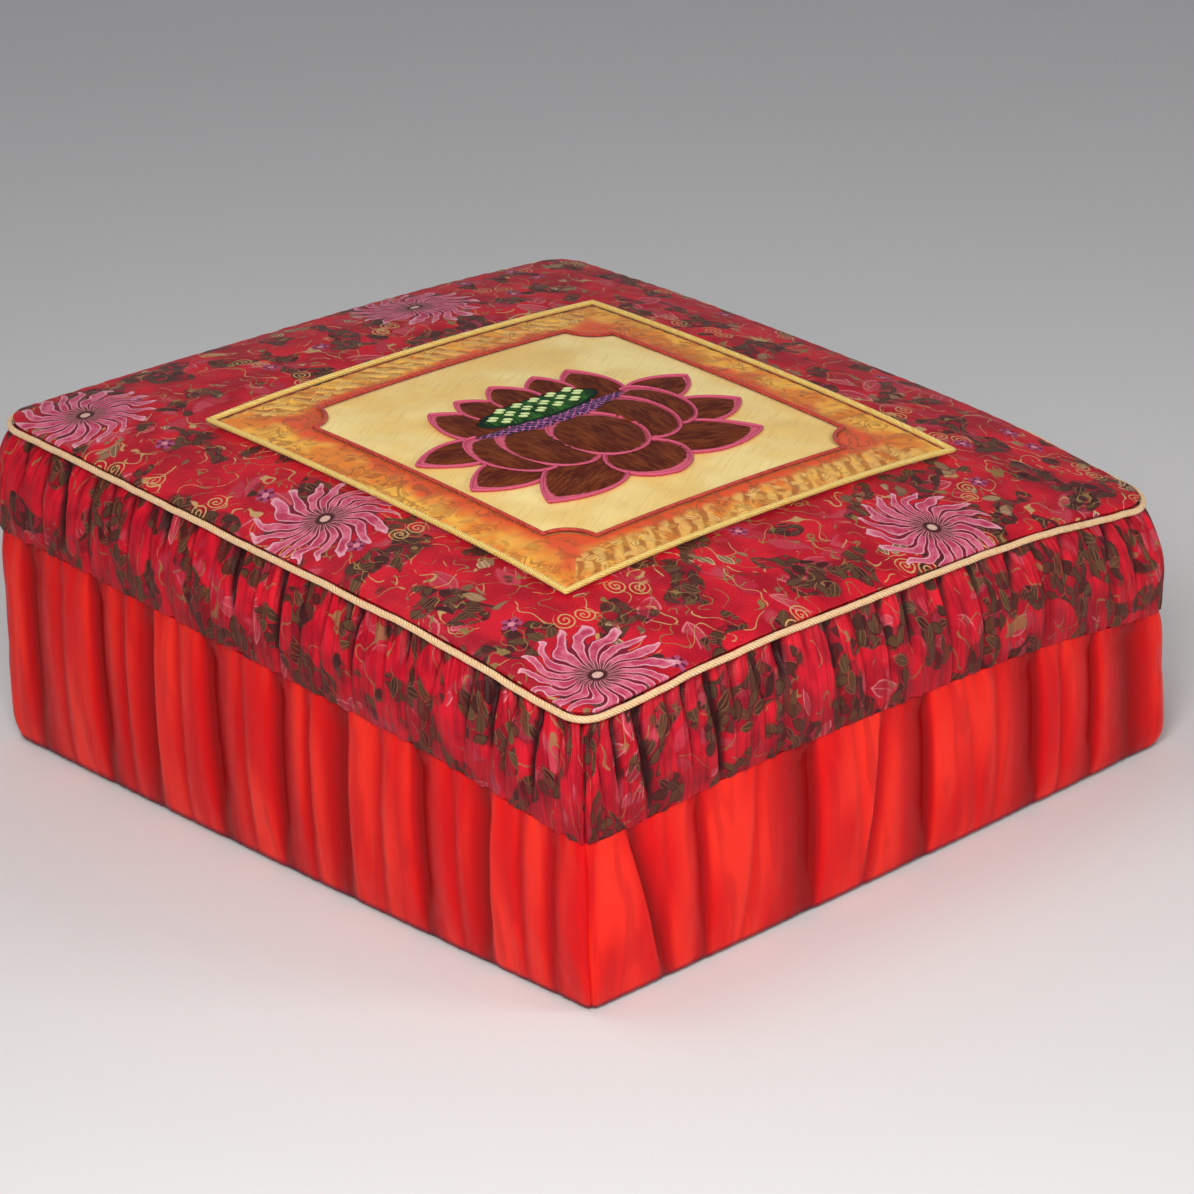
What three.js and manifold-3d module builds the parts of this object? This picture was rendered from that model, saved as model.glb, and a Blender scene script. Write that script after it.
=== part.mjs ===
// Square meditation cushion: a crowned brocade top with a lotus emblem, over two gathered side bands.
// Millimetres, +Z up. The origin is on the floor under the middle. The near corner, where the two faces
// that are drawn from life meet, is at +X and -Y.
import * as THREE from 'three';
import { mergeVertices } from 'three/addons/utils/BufferGeometryUtils.js';
import Module from 'manifold-3d';

const wasm = await Module();
wasm.setup();

// driving dimensions of the body
const width = 500; // along X, at the piping
const depth = 450; // along Y, at the piping
const pipingHeight = 182; // of the top seam, in the middle of the tilt
const bandSeamHeight = 117.5; // of the seam between satin and brocade
const edgeRise = 3; // of the top cloth where it turns over the piping
const crownRise = 20; // of the middle above that
const crownFullness = 0.5; // power of the crown: lower is fuller towards the edges
const sideSwell = 2; // how far the middle of each side stands out past its corners
const seamGap = 0.4; // between two pieces that are sewn together
const pipingRadius = 2.5;
const baseThickness = 2;
const baseInset = 6;

// the filling is fuller on the left than on the right, so the upper seams lie a little out of level
const riseToLeft = 16; // at the left side, and the same fall at the right
const riseToFar = -4; // at the far side, and the same rise at the near side
const droopSpread = 60; // how far round a corner its droop is felt
const cornerDroop = [
  { name: 'near', x: 1, y: -1, drop: 9 },
  { name: 'right', x: 1, y: 1, drop: 11 },
  { name: 'far', x: -1, y: 1, drop: 4 },
  { name: 'left', x: -1, y: -1, drop: 1 },
];

// side profile: how far each row stands out past the piping line, and the plan's corner radius there
const satinRows = [
  { up: 0, reach: 1, corner: 14 },
  { up: 0.08, reach: 5, corner: 14 },
  { up: 0.3, reach: 7, corner: 15 },
  { up: 0.6, reach: 6.5, corner: 16 },
  { up: 0.88, reach: 5, corner: 17 },
  { up: 1, reach: 3, corner: 18 },
];
const brocadeRows = [
  { up: 0, reach: 3, corner: 18 },
  { up: 0.18, reach: 6, corner: 20 },
  { up: 0.52, reach: 7.5, corner: 22 },
  { up: 0.94, reach: 0, corner: 24 },
  { up: 1, reach: -3.6, corner: 24 },
];
const topRim = { reach: -1.5, corner: 24, tuckedReach: -3.6 };
const pipingCorner = 26;

// folds of the satin: distance from the near corner, width and depth of the trough, and its lean at the floor
const satinFolds = {
  alongX: [
    { at: 46, wide: 30, deep: 5, lean: 2 },
    { at: 95, wide: 16, deep: 7, lean: 2 },
    { at: 150, wide: 16, deep: 5, lean: -3 },
    { at: 208, wide: 20, deep: 7, lean: 2 },
    { at: 263, wide: 26, deep: 6, lean: 0 },
    { at: 320, wide: 28, deep: 6, lean: -6 },
    { at: 366, wide: 22, deep: 5, lean: 0 },
    { at: 412, wide: 24, deep: 6, lean: -4 },
    { at: 458, wide: 20, deep: 5, lean: 0 },
  ],
  alongY: [
    { at: 42, wide: 18, deep: 8, lean: 16 },
    { at: 90, wide: 18, deep: 6, lean: 0 },
    { at: 135, wide: 16, deep: 4, lean: -14 },
    { at: 174, wide: 32, deep: 7, lean: 0 },
    { at: 231, wide: 14, deep: 3, lean: -2 },
    { at: 256, wide: 26, deep: 6, lean: 0 },
    { at: 338, wide: 36, deep: 6, lean: 0 },
    { at: 368, wide: 14, deep: 3, lean: 0 },
    { at: 404, wide: 26, deep: 5, lean: 4 },
  ],
};
// deep pleats of the brocade, over an even ripple of fine gathers
const brocadePleats = {
  alongX: [
    { at: 64, wide: 12, deep: 4 },
    { at: 84, wide: 10, deep: 3 },
    { at: 235, wide: 12, deep: 4 },
    { at: 270, wide: 14, deep: 4 },
    { at: 332, wide: 12, deep: 4 },
    { at: 430, wide: 16, deep: 3 },
  ],
  alongY: [
    { at: 40, wide: 14, deep: 3 },
    { at: 90, wide: 12, deep: 4 },
    { at: 137, wide: 16, deep: 4 },
    { at: 236, wide: 12, deep: 4 },
    { at: 266, wide: 12, deep: 3 },
    { at: 400, wide: 14, deep: 3 },
  ],
};
const gather = { pitch: 25, depth: 1.6, drift: 0.9, driftPitch: 118 };

// emblem: a square border round a field with hollow corners, on the crown
const emblem = {
  x: 17,
  y: -8,
  half: 151.5,
  cordRadius: 2.6,
  sheet: 1.4,
  fieldHalf: 116,
  hollowRadius: 20,
  fieldCordRadius: 1.9,
};

// lotus, seen upright from the +X side: across is +Y and up is -X, from the emblem's middle
const lotusMiddle = { across: -6, up: -10 }; // from the emblem's middle
const seedHead = { up: 38.5, halfAcross: 45, halfUp: 13.5, high: 3 };
const stamenBand = { up: 18.5, bend: 9, halfAcross: 56, wide: 10, high: 2.2 };
const pad = { wall: 0.7, shoulder: 0.62, lift: 0.5 }; // edge height, share of the domed middle, gap below
// petals from front to back: where the base and the tip lie, the width, the point's power and the height
const petalRows = [
  { name: 'bowl_petal_middle', base: [0, -43], tip: [0, 20], wide: 54, point: 0.5, high: 3 },
  { name: 'bowl_petal_inner', base: [27, -38], tip: [40, 26], wide: 46, point: 0.55, high: 2.6, pair: true },
  { name: 'bowl_petal_outer', base: [47, -30], tip: [62, 30], wide: 42, point: 0.6, high: 2.3, pair: true },
  { name: 'low_petal_middle', base: [0, -30], tip: [0, -76], wide: 52, point: 0.55, high: 2.2 },
  { name: 'low_petal_side', base: [16, -38], tip: [82, -60], wide: 44, point: 0.85, high: 2, pair: true },
  { name: 'side_petal_lower', base: [50, -18], tip: [103, -21], wide: 36, point: 0.85, high: 1.8, pair: true },
  { name: 'side_petal_upper', base: [54, 14], tip: [104, 24], wide: 32, point: 0.85, high: 1.8, pair: true },
  { name: 'back_petal_middle', base: [0, 40], tip: [0, 80], wide: 30, point: 0.8, high: 1.6 },
  { name: 'back_petal_inner', base: [20, 38], tip: [30, 76], wide: 28, point: 0.8, high: 1.6, pair: true },
  { name: 'back_petal_outer', base: [42, 20], tip: [53, 72], wide: 34, point: 0.8, high: 1.6, pair: true },
];

// how finely each piece is stepped
const steps = {
  satin: { alongX: 56, alongY: 50, corner: 5 },
  brocade: { alongX: 74, alongY: 66, corner: 6 },
  top: { alongX: 18, alongY: 16, corner: 6 },
  piping: { alongX: 22, alongY: 20, corner: 8 },
  base: { alongX: 6, alongY: 6, corner: 5 },
  fieldSide: 7,
  fieldCorner: 4,
};
const crownRings = [1, 0.94, 0.84, 0.7, 0.54, 0.36, 0.18];

const materials = {
  satin: new THREE.MeshStandardMaterial({ color: 0xc8141c, roughness: 0.38, metalness: 0 }),
  brocade: new THREE.MeshStandardMaterial({ color: 0xb3182c, roughness: 0.6, metalness: 0 }),
  goldPiping: new THREE.MeshStandardMaterial({ color: 0xe8b878, roughness: 0.5, metalness: 0 }),
  damask: new THREE.MeshStandardMaterial({ color: 0xc77a22, roughness: 0.5, metalness: 0 }),
  goldCord: new THREE.MeshStandardMaterial({ color: 0xeecb62, roughness: 0.45, metalness: 0 }),
  fieldSatin: new THREE.MeshStandardMaterial({ color: 0xe6c478, roughness: 0.45, metalness: 0 }),
  redCord: new THREE.MeshStandardMaterial({ color: 0xb0200f, roughness: 0.5, metalness: 0 }),
  petal: new THREE.MeshStandardMaterial({ color: 0x4d2812, roughness: 0.7, metalness: 0 }),
  seedGreen: new THREE.MeshStandardMaterial({ color: 0x2f5a24, roughness: 0.7, metalness: 0 }),
  stamen: new THREE.MeshStandardMaterial({ color: 0x8a4676, roughness: 0.6, metalness: 0 }),
};

const cushion = new THREE.Group();

function addPiece(name, geometry, material) {
  const mesh = new THREE.Mesh(geometry, material);
  mesh.name = name;
  cushion.add(mesh);
}

// The middle of a closed outline, weighed by length, so that it doesn't hang on how the outline is stepped.
function edgeCentre(ring) {
  const sum = new THREE.Vector3();
  let perimeter = 0;
  ring.forEach((point, k) => {
    const next = ring[(k + 1) % ring.length];
    const length = point.distanceTo(next);
    sum.addScaledVector(point, length / 2).addScaledVector(next, length / 2);
    perimeter += length;
  });
  return sum.divideScalar(perimeter);
}

// A closed skin over rings of equally many points, each counter-clockwise seen from above. The first ring is
// capped from below and the last from above, or with loop the last is joined to the first.
function skin(rings, loop = false) {
  const count = rings[0].length;
  const positions = rings.flat().flatMap((point) => [point.x, point.y, point.z]);
  const faces = [];
  const joined = loop ? rings.length : rings.length - 1;
  for (let i = 0; i < joined; i += 1) {
    const low = i * count;
    const high = ((i + 1) % rings.length) * count;
    for (let k = 0; k < count; k += 1) {
      const next = (k + 1) % count;
      faces.push(low + k, low + next, high + next);
      faces.push(low + k, high + next, high + k);
    }
  }
  if (!loop) {
    const lastStart = (rings.length - 1) * count;
    const caps = [{ ring: rings[0], start: 0, up: false }, { ring: rings.at(-1), start: lastStart, up: true }];
    for (const { ring, start, up } of caps) {
      const middle = edgeCentre(ring);
      const centre = positions.length / 3;
      positions.push(middle.x, middle.y, middle.z);
      for (let k = 0; k < count; k += 1) {
        const next = (k + 1) % count;
        faces.push(centre, start + (up ? k : next), start + (up ? next : k));
      }
    }
  }
  const geometry = new THREE.BufferGeometry();
  geometry.setAttribute('position', new THREE.Float32BufferAttribute(positions, 3));
  geometry.setIndex(faces);
  return geometry;
}

// how much the seams leave level: the tilt of the filling, less the droop of the corners
function lift(x, y) {
  const tilt = (-riseToLeft * x) / (width / 2) + (riseToFar * y) / (depth / 2);
  const droop = cornerDroop.reduce((sum, corner) => {
    const away = Math.hypot(x - (corner.x * width) / 2, y - (corner.y * depth) / 2);
    return sum + corner.drop * Math.exp(-((away / droopSpread) ** 2) / 2);
  }, 0);
  return tilt - droop;
}

const pipingZ = (x, y) => pipingHeight + lift(x, y);
const bandSeamZ = (x, y) => bandSeamHeight + lift(x, y);

// height of the top cloth over any point inside the piping
function crownZ(x, y) {
  const acrossX = 1 - Math.min(1, Math.abs(x) / (width / 2 + topRim.reach)) ** 2;
  const acrossY = 1 - Math.min(1, Math.abs(y) / (depth / 2 + topRim.reach)) ** 2;
  return pipingZ(x, y) + edgeRise + crownRise * (acrossX * acrossY) ** crownFullness;
}

// Points of the plan, counter-clockwise from the near corner: a rectangle with round corners whose sides swell
// out a little. On a side, along is the distance from the near corner's end and face says which way it runs.
function planPoints(reach, radius, step) {
  const halfX = width / 2 + reach - radius;
  const halfY = depth / 2 + reach - radius;
  const corners = [
    { x: halfX, y: -halfY, start: -90, face: 'alongY', hidden: false },
    { x: halfX, y: halfY, start: 0, face: 'alongX', hidden: true },
    { x: -halfX, y: halfY, start: 90, face: 'alongY', hidden: true },
    { x: -halfX, y: -halfY, start: 180, face: 'alongX', hidden: false },
  ];
  const points = [];
  const arcPoint = (corner, degrees) => {
    const angle = THREE.MathUtils.degToRad(degrees);
    const normal = new THREE.Vector2(Math.cos(angle), Math.sin(angle));
    return { place: new THREE.Vector2(corner.x, corner.y).addScaledVector(normal, radius), normal };
  };
  corners.forEach((corner, i) => {
    for (let k = 0; k <= step.corner; k += 1) {
      points.push(arcPoint(corner, corner.start + (90 * k) / step.corner));
    }
    const from = points.at(-1);
    const to = arcPoint(corners[(i + 1) % 4], corner.start + 90);
    for (let k = 1; k < step[corner.face]; k += 1) {
      const share = k / step[corner.face];
      const place = from.place.clone().lerp(to.place, share);
      place.addScaledVector(from.normal, sideSwell * Math.sin(Math.PI * share));
      const along = corner.face === 'alongX' ? width / 2 - place.x : place.y + depth / 2;
      const length = corner.face === 'alongX' ? width : depth;
      points.push({ place, normal: from.normal, face: corner.face, along: corner.hidden ? length - along : along });
    }
  });
  return points;
}

// one ring of a side band, with its troughs pressed in and its height from the plan
function bandRing(row, step, trough, height) {
  return planPoints(row.reach, row.corner, step).map((point) => {
    const pressed = point.face ? trough(point.face, point.along, row.up) : 0;
    const x = point.place.x - point.normal.x * pressed;
    const y = point.place.y - point.normal.y * pressed;
    return new THREE.Vector3(x, y, height(x, y, row.up));
  });
}

const bump = (distance, wide) => Math.exp(-((distance / (wide / 2)) ** 2));

function satinTrough(face, along, up) {
  const share = 0.3 + 0.7 * Math.sin(Math.PI * (0.15 + 0.8 * up));
  return satinFolds[face].reduce((sum, fold) => {
    const middle = fold.at + fold.lean * (1 - up);
    return sum + share * fold.deep * bump(along - middle, fold.wide);
  }, 0);
}

function brocadeTrough(face, along, up) {
  const drift = gather.drift * Math.sin((2 * Math.PI * along) / gather.driftPitch);
  const ripple = (gather.depth * (1 - Math.cos((2 * Math.PI * along) / gather.pitch + drift))) / 2;
  const pleats = brocadePleats[face].reduce((sum, pleat) => {
    return sum + pleat.deep * bump(along - pleat.at, pleat.wide);
  }, 0);
  const share = 0.4 + 0.6 * Math.sin(Math.PI * up);
  return share * (ripple + pleats);
}

function addBase() {
  const plan = planPoints(-baseInset, satinRows[0].corner, steps.base);
  const ringAt = (z) => plan.map(({ place }) => new THREE.Vector3(place.x, place.y, z));
  addPiece('base_panel', skin([ringAt(0), ringAt(baseThickness)]), materials.satin);
}

function addSatinBand() {
  const floor = baseThickness + seamGap;
  const height = (x, y, up) => floor + up * (bandSeamZ(x, y) - seamGap / 2 - floor);
  const rings = satinRows.map((row) => bandRing(row, steps.satin, satinTrough, height));
  addPiece('satin_band', skin(rings), materials.satin);
}

function addBrocadeBand() {
  const height = (x, y, up) => {
    const low = bandSeamZ(x, y) + seamGap / 2;
    return low + up * (pipingZ(x, y) - seamGap / 2 - low);
  };
  const rings = brocadeRows.map((row) => bandRing(row, steps.brocade, brocadeTrough, height));
  addPiece('brocade_band', skin(rings), materials.brocade);
}

function addTopPanel() {
  const tucked = planPoints(topRim.tuckedReach, topRim.corner, steps.top).map(
    ({ place }) => new THREE.Vector3(place.x, place.y, pipingZ(place.x, place.y) + seamGap),
  );
  const rim = planPoints(topRim.reach, topRim.corner, steps.top);
  const crown = crownRings.map((share) =>
    rim.map(({ place }) => {
      const x = place.x * share;
      const y = place.y * share;
      return new THREE.Vector3(x, y, crownZ(x, y));
    }),
  );
  addPiece('top_panel', skin([tucked, ...crown]), materials.brocade);
}

// a cord round a closed path: each ring is the path moved out and up to one corner of the section
function cordSkin(path, radius, sides) {
  const rings = [];
  for (let j = 0; j < sides; j += 1) {
    const angle = (2 * Math.PI * (j + 0.5)) / sides - Math.PI / 2;
    const out = radius * Math.cos(angle);
    const up = radius * Math.sin(angle);
    rings.push(
      path.map(({ point, normal }) => {
        return new THREE.Vector3(point.x + normal.x * out, point.y + normal.y * out, point.z + up);
      }),
    );
  }
  return skin(rings, true);
}

function addPiping() {
  const path = planPoints(0, pipingCorner, steps.piping).map(({ place, normal }) => ({
    point: new THREE.Vector3(place.x, place.y, pipingZ(place.x, place.y)),
    normal,
  }));
  addPiece('edge_piping', cordSkin(path, pipingRadius, 6), materials.goldPiping);
}

// Outline of the field, counter-clockwise from the lower right: four straight sides and, at each corner, a
// hollow quarter circle. Grow moves it outwards.
function fieldOutline(grow) {
  const half = emblem.fieldHalf + grow;
  const hollow = emblem.hollowRadius + grow * 0.4;
  const points = [];
  for (let side = 0; side < 4; side += 1) {
    const turn = (side * Math.PI) / 2;
    const local = [];
    for (let k = 0; k <= steps.fieldSide; k += 1) {
      local.push({ u: half, v: (half - hollow) * ((2 * k) / steps.fieldSide - 1), across: 1, along: 0 });
    }
    for (let k = 1; k < steps.fieldCorner; k += 1) {
      const angle = (k / steps.fieldCorner) * (Math.PI / 2);
      const across = Math.sin(angle);
      const along = Math.cos(angle);
      local.push({ u: half - hollow * across, v: half - hollow * along, across, along });
    }
    for (const { u, v, across, along } of local) {
      points.push({
        x: u * Math.cos(turn) - v * Math.sin(turn),
        y: u * Math.sin(turn) + v * Math.cos(turn),
        normal: new THREE.Vector2(
          across * Math.cos(turn) - along * Math.sin(turn),
          across * Math.sin(turn) + along * Math.cos(turn),
        ),
      });
    }
  }
  return points;
}

// the same stations pushed out to a plain square of the given half side, with mitred normals at its corners
function squareOutline(half) {
  const tolerance = 0.01;
  return fieldOutline(0).map(({ x, y }) => {
    const reach = Math.max(Math.abs(x), Math.abs(y));
    const normal = new THREE.Vector2(
      Math.abs(x) > reach - tolerance ? Math.sign(x) : 0,
      Math.abs(y) > reach - tolerance ? Math.sign(y) : 0,
    );
    return { x: (x * half) / reach, y: (y * half) / reach, normal };
  });
}

// places emblem points on the crown at a height above the cloth
function onCrown(points, above) {
  return points.map(({ x, y }) => {
    const placeX = x + emblem.x;
    const placeY = y + emblem.y;
    return new THREE.Vector3(placeX, placeY, crownZ(placeX, placeY) + above);
  });
}

const sheetLow = seamGap;
const sheetHigh = seamGap + emblem.sheet;
const scaled = (points, share) => points.map(({ x, y }) => ({ x: x * share, y: y * share }));

function addBorder() {
  const inner = fieldOutline(seamGap / 2);
  const outer = squareOutline(emblem.half - 2 * emblem.cordRadius - seamGap);
  const between = inner.map((point, k) => ({ x: (point.x + outer[k].x) / 2, y: (point.y + outer[k].y) / 2 }));
  const low = [inner, between, outer].map((points) => onCrown(points, sheetLow));
  const high = [outer, between, inner].map((points) => onCrown(points, sheetHigh));
  addPiece('emblem_border', skin([...low, ...high], true), materials.damask);
}

function addEmblemCord() {
  const half = emblem.half - emblem.cordRadius;
  const path = squareOutline(half).map(({ x, y, normal }) => {
    const [point] = onCrown([{ x, y }], seamGap + emblem.cordRadius);
    return { point, normal };
  });
  addPiece('emblem_cord', cordSkin(path, emblem.cordRadius, 6), materials.goldCord);
}

function addField() {
  const outline = fieldOutline(-seamGap / 2);
  const shares = [0.22, 0.5, 0.77, 1];
  const low = shares.map((share) => onCrown(scaled(outline, share), sheetLow));
  const high = shares.toReversed().map((share) => onCrown(scaled(outline, share), sheetHigh));
  addPiece('field_panel', skin([...low, ...high]), materials.fieldSatin);
}

function addFieldCord() {
  const path = fieldOutline(0).map(({ x, y, normal }) => {
    const [point] = onCrown([{ x, y }], sheetHigh + seamGap + emblem.fieldCordRadius);
    return { point, normal };
  });
  addPiece('field_cord', cordSkin(path, emblem.fieldCordRadius, 6), materials.redCord);
}

// A flat pad on z = 0 from a closed outline: a low wall, a shoulder and a domed middle.
function flatPad(outline, high) {
  const count = outline.length;
  const middle = outline.reduce((sum, p) => ({ x: sum.x + p.x / count, y: sum.y + p.y / count }), { x: 0, y: 0 });
  const ringAt = (share, z) =>
    outline.map(({ x, y }) => {
      return new THREE.Vector3(middle.x + (x - middle.x) * share, middle.y + (y - middle.y) * share, z);
    });
  return skin([ringAt(1, 0), ringAt(1, pad.wall), ringAt(pad.shoulder, high)]);
}

// Outline of a petal in the lotus's own plane: round at the base, pointed by its power at the tip.
function petalOutline(row, mirror, grow) {
  const stations = [0.06, 0.2, 0.4, 0.6, 0.8, 0.94];
  const rootPower = 0.5;
  const widest = rootPower / (rootPower + row.point);
  const base = new THREE.Vector2(row.base[0] * mirror, row.base[1]);
  const tip = new THREE.Vector2(row.tip[0] * mirror, row.tip[1]);
  const spine = tip.clone().sub(base);
  const side = new THREE.Vector2(-spine.y, spine.x).normalize();
  const forward = spine.clone().normalize();
  const halfWide = (t) =>
    (row.wide / 2) * (t / widest) ** rootPower * ((1 - t) / (1 - widest)) ** row.point + grow;
  const edge = (t, way) => base.clone().addScaledVector(spine, t).addScaledVector(side, way * halfWide(t));
  const outline = [base.clone().addScaledVector(forward, -grow)];
  for (const t of stations) {
    outline.push(edge(t, -1));
  }
  outline.push(tip.clone().addScaledVector(forward, grow * 2));
  for (const t of stations.toReversed()) {
    outline.push(edge(t, 1));
  }
  return outline;
}

function seedHeadOutline(grow) {
  const points = 20;
  const outline = [];
  for (let k = 0; k < points; k += 1) {
    const angle = (2 * Math.PI * k) / points;
    const across = (seedHead.halfAcross + grow) * Math.cos(angle);
    outline.push(new THREE.Vector2(across, seedHead.up + (seedHead.halfUp + grow) * Math.sin(angle)));
  }
  return outline;
}

function stamenOutline(grow) {
  const lowEdge = [];
  const highEdge = [];
  for (let k = 0; k <= 8; k += 1) {
    const share = k / 4 - 1;
    const halfWide = (stamenBand.wide / 2) * Math.sqrt(1 - 0.9 * share * share) + grow;
    const middle = stamenBand.up + stamenBand.bend * share * share;
    const across = share * (stamenBand.halfAcross + grow);
    lowEdge.push(new THREE.Vector2(across, middle - halfWide));
    highEdge.unshift(new THREE.Vector2(across, middle + halfWide));
  }
  return [...lowEdge, ...highEdge];
}

// lotus plane to emblem plane: across is +Y, up is -X
const lotusToEmblem = (outline) =>
  outline.map((p) => ({ x: -p.y - lotusMiddle.up, y: p.x + lotusMiddle.across }));

function toManifold(geometry) {
  const merged = mergeVertices(geometry);
  return new wasm.Manifold(
    new wasm.Mesh({
      numProp: 3,
      vertProperties: Float32Array.from(merged.attributes.position.array),
      triVerts: Uint32Array.from(merged.index.array),
    }),
  );
}

function fromManifold(solid) {
  const mesh = solid.getMesh();
  const geometry = new THREE.BufferGeometry();
  geometry.setAttribute('position', new THREE.Float32BufferAttribute(mesh.vertProperties, 3));
  geometry.setIndex(Array.from(mesh.triVerts));
  return geometry;
}

// lays a flat piece on the crown at a height above the cloth
function drapeOnCrown(geometry, above) {
  const { position } = geometry.attributes;
  for (let i = 0; i < position.count; i += 1) {
    const x = position.getX(i) + emblem.x;
    const y = position.getY(i) + emblem.y;
    position.setXYZ(i, x, y, crownZ(x, y) + above + position.getZ(i));
  }
  return geometry;
}

// The lotus pieces from front to back. Each is cut back by those in front of it, as in applied work.
function addLotus() {
  const cutterHeight = 20;
  const pieces = [
    { name: 'stamens', outline: stamenOutline, high: stamenBand.high, material: materials.stamen },
    { name: 'seed_head', outline: seedHeadOutline, high: seedHead.high, material: materials.seedGreen },
  ];
  const single = [{ way: 1, suffix: '' }];
  const both = [{ way: 1, suffix: '_right' }, { way: -1, suffix: '_left' }];
  for (const row of petalRows) {
    for (const { way, suffix } of row.pair ? both : single) {
      const outline = (grow) => petalOutline(row, way, grow);
      pieces.push({ name: row.name + suffix, outline, high: row.high, material: materials.petal });
    }
  }
  const cutters = [];
  for (const piece of pieces) {
    let solid = toManifold(flatPad(lotusToEmblem(piece.outline(0)), piece.high));
    for (const cutter of cutters) {
      solid = solid.subtract(cutter);
    }
    addPiece(piece.name, drapeOnCrown(fromManifold(solid), sheetHigh + pad.lift), piece.material);
    const grown = lotusToEmblem(piece.outline(seamGap));
    const cutterRing = (z) => grown.map((p) => new THREE.Vector3(p.x, p.y, z));
    cutters.push(toManifold(skin([cutterRing(-1), cutterRing(cutterHeight)])));
  }
}

// moves every piece by the same amount, so that the whole stands over the origin
function centreOnOrigin() {
  const box = new THREE.Box3().setFromObject(cushion);
  const middle = box.getCenter(new THREE.Vector3());
  for (const mesh of cushion.children) {
    mesh.geometry.translate(-middle.x, -middle.y, 0);
  }
}

addBase();
addSatinBand();
addBrocadeBand();
addTopPanel();
addPiping();
addBorder();
addEmblemCord();
addField();
addFieldCord();
addLotus();
centreOnOrigin();

export default cushion;
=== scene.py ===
# %% [markdown]
# # A square meditation cushion, gathered and piped
#
# The cushion is a stuffed box. A crowned brocade top carries a sewn-on emblem with an embroidered lotus, gold
# piping runs round the top edge, and two gathered bands, brocade over satin, go round the sides. This lesson
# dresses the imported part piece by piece. Everything is in metres, with +Z up.

import math

import bmesh
import bpy
import numpy as np
from mathutils import Matrix, Vector, noise


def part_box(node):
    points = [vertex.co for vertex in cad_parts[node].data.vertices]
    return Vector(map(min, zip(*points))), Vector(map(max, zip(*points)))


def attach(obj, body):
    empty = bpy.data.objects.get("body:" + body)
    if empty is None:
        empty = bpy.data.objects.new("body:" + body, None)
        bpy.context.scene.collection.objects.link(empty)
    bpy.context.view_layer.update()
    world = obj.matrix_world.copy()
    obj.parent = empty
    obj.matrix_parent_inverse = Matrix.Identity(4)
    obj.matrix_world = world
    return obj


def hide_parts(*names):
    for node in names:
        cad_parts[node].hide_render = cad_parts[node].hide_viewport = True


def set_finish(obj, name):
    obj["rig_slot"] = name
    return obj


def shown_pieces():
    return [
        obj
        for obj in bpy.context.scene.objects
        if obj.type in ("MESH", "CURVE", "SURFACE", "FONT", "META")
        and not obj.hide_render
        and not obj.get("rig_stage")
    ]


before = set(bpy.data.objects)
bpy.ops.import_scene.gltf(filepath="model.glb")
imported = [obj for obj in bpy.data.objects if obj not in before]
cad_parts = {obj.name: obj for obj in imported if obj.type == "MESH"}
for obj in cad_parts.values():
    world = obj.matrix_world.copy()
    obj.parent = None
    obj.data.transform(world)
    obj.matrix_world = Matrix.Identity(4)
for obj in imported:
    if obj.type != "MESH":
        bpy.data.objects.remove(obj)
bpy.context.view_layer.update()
print("the frame has", len(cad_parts), "nodes")

# %% [markdown]
# ## The body's sizes
#
# These are the sizes that the solids were cut to. The base panel lies evenly round the middle of the cut, so
# the middle of its box is where a pattern maker's tape would start. The filling is fuller on the left, so the
# seams are a little out of level.

# %% Sizes of the body
mm = 0.001
width = 500 * mm  # along X, at the piping
depth = 450 * mm  # along Y, at the piping
piping_height = 182 * mm
band_seam_height = 117.5 * mm
edge_rise = 3 * mm
crown_rise = 20 * mm
crown_fullness = 0.5
side_swell = 2 * mm
seam_gap = 0.4 * mm
base_top = 2 * mm
rise_to_left = 16 * mm
rise_to_far = -4 * mm
droop_spread = 60 * mm
corner_droops = [(1, -1, 9 * mm), (1, 1, 11 * mm), (-1, 1, 4 * mm), (-1, -1, 1 * mm)]
base_low, base_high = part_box("base_panel")
home = Vector(((base_low.x + base_high.x) / 2, (base_low.y + base_high.y) / 2, 0))
print("the cut's middle lies at", [round(c / mm, 1) for c in home], "mm")


# %% Heights of the seams and of the top
def lift(x, y):
    """How far the seams leave level at a place on the plan."""
    tilt = -rise_to_left * x / (width / 2) + rise_to_far * y / (depth / 2)
    for side_x, side_y, drop in corner_droops:
        away = math.hypot(x - side_x * width / 2, y - side_y * depth / 2)
        tilt -= drop * math.exp(-((away / droop_spread) ** 2) / 2)
    return tilt


def piping_z(x, y):
    return piping_height + lift(x, y)


def band_seam_z(x, y):
    return band_seam_height + lift(x, y)


def crown_z(x, y):
    """Height of the top cloth inside the piping."""
    across_x = 1 - min(1, abs(x) / (width / 2 - 1.5 * mm)) ** 2
    across_y = 1 - min(1, abs(y) / (depth / 2 - 1.5 * mm)) ** 2
    return piping_z(x, y) + edge_rise + crown_rise * (across_x * across_y) ** crown_fullness


print("the top is", round(crown_z(0, 0) / mm, 1), "mm high in the middle")

# %% [markdown]
# ## The camera, the floor and the light
#
# The camera stands a little over two metres off, above the near corner, with a long lens. A pale floor and
# broad soft lamps show the satin's folds without hard shadows.


# %% Camera
def direction(azimuth, elevation):
    """The way from the cushion to a place, by its two angles in degrees."""
    turn, rise = math.radians(azimuth), math.radians(elevation)
    return Vector((math.sin(turn) * math.cos(rise), -math.cos(turn) * math.cos(rise), math.sin(rise)))


def add_to_scene(name, data):
    thing = bpy.data.objects.new(name, data)
    bpy.context.scene.collection.objects.link(thing)
    return thing


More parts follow.
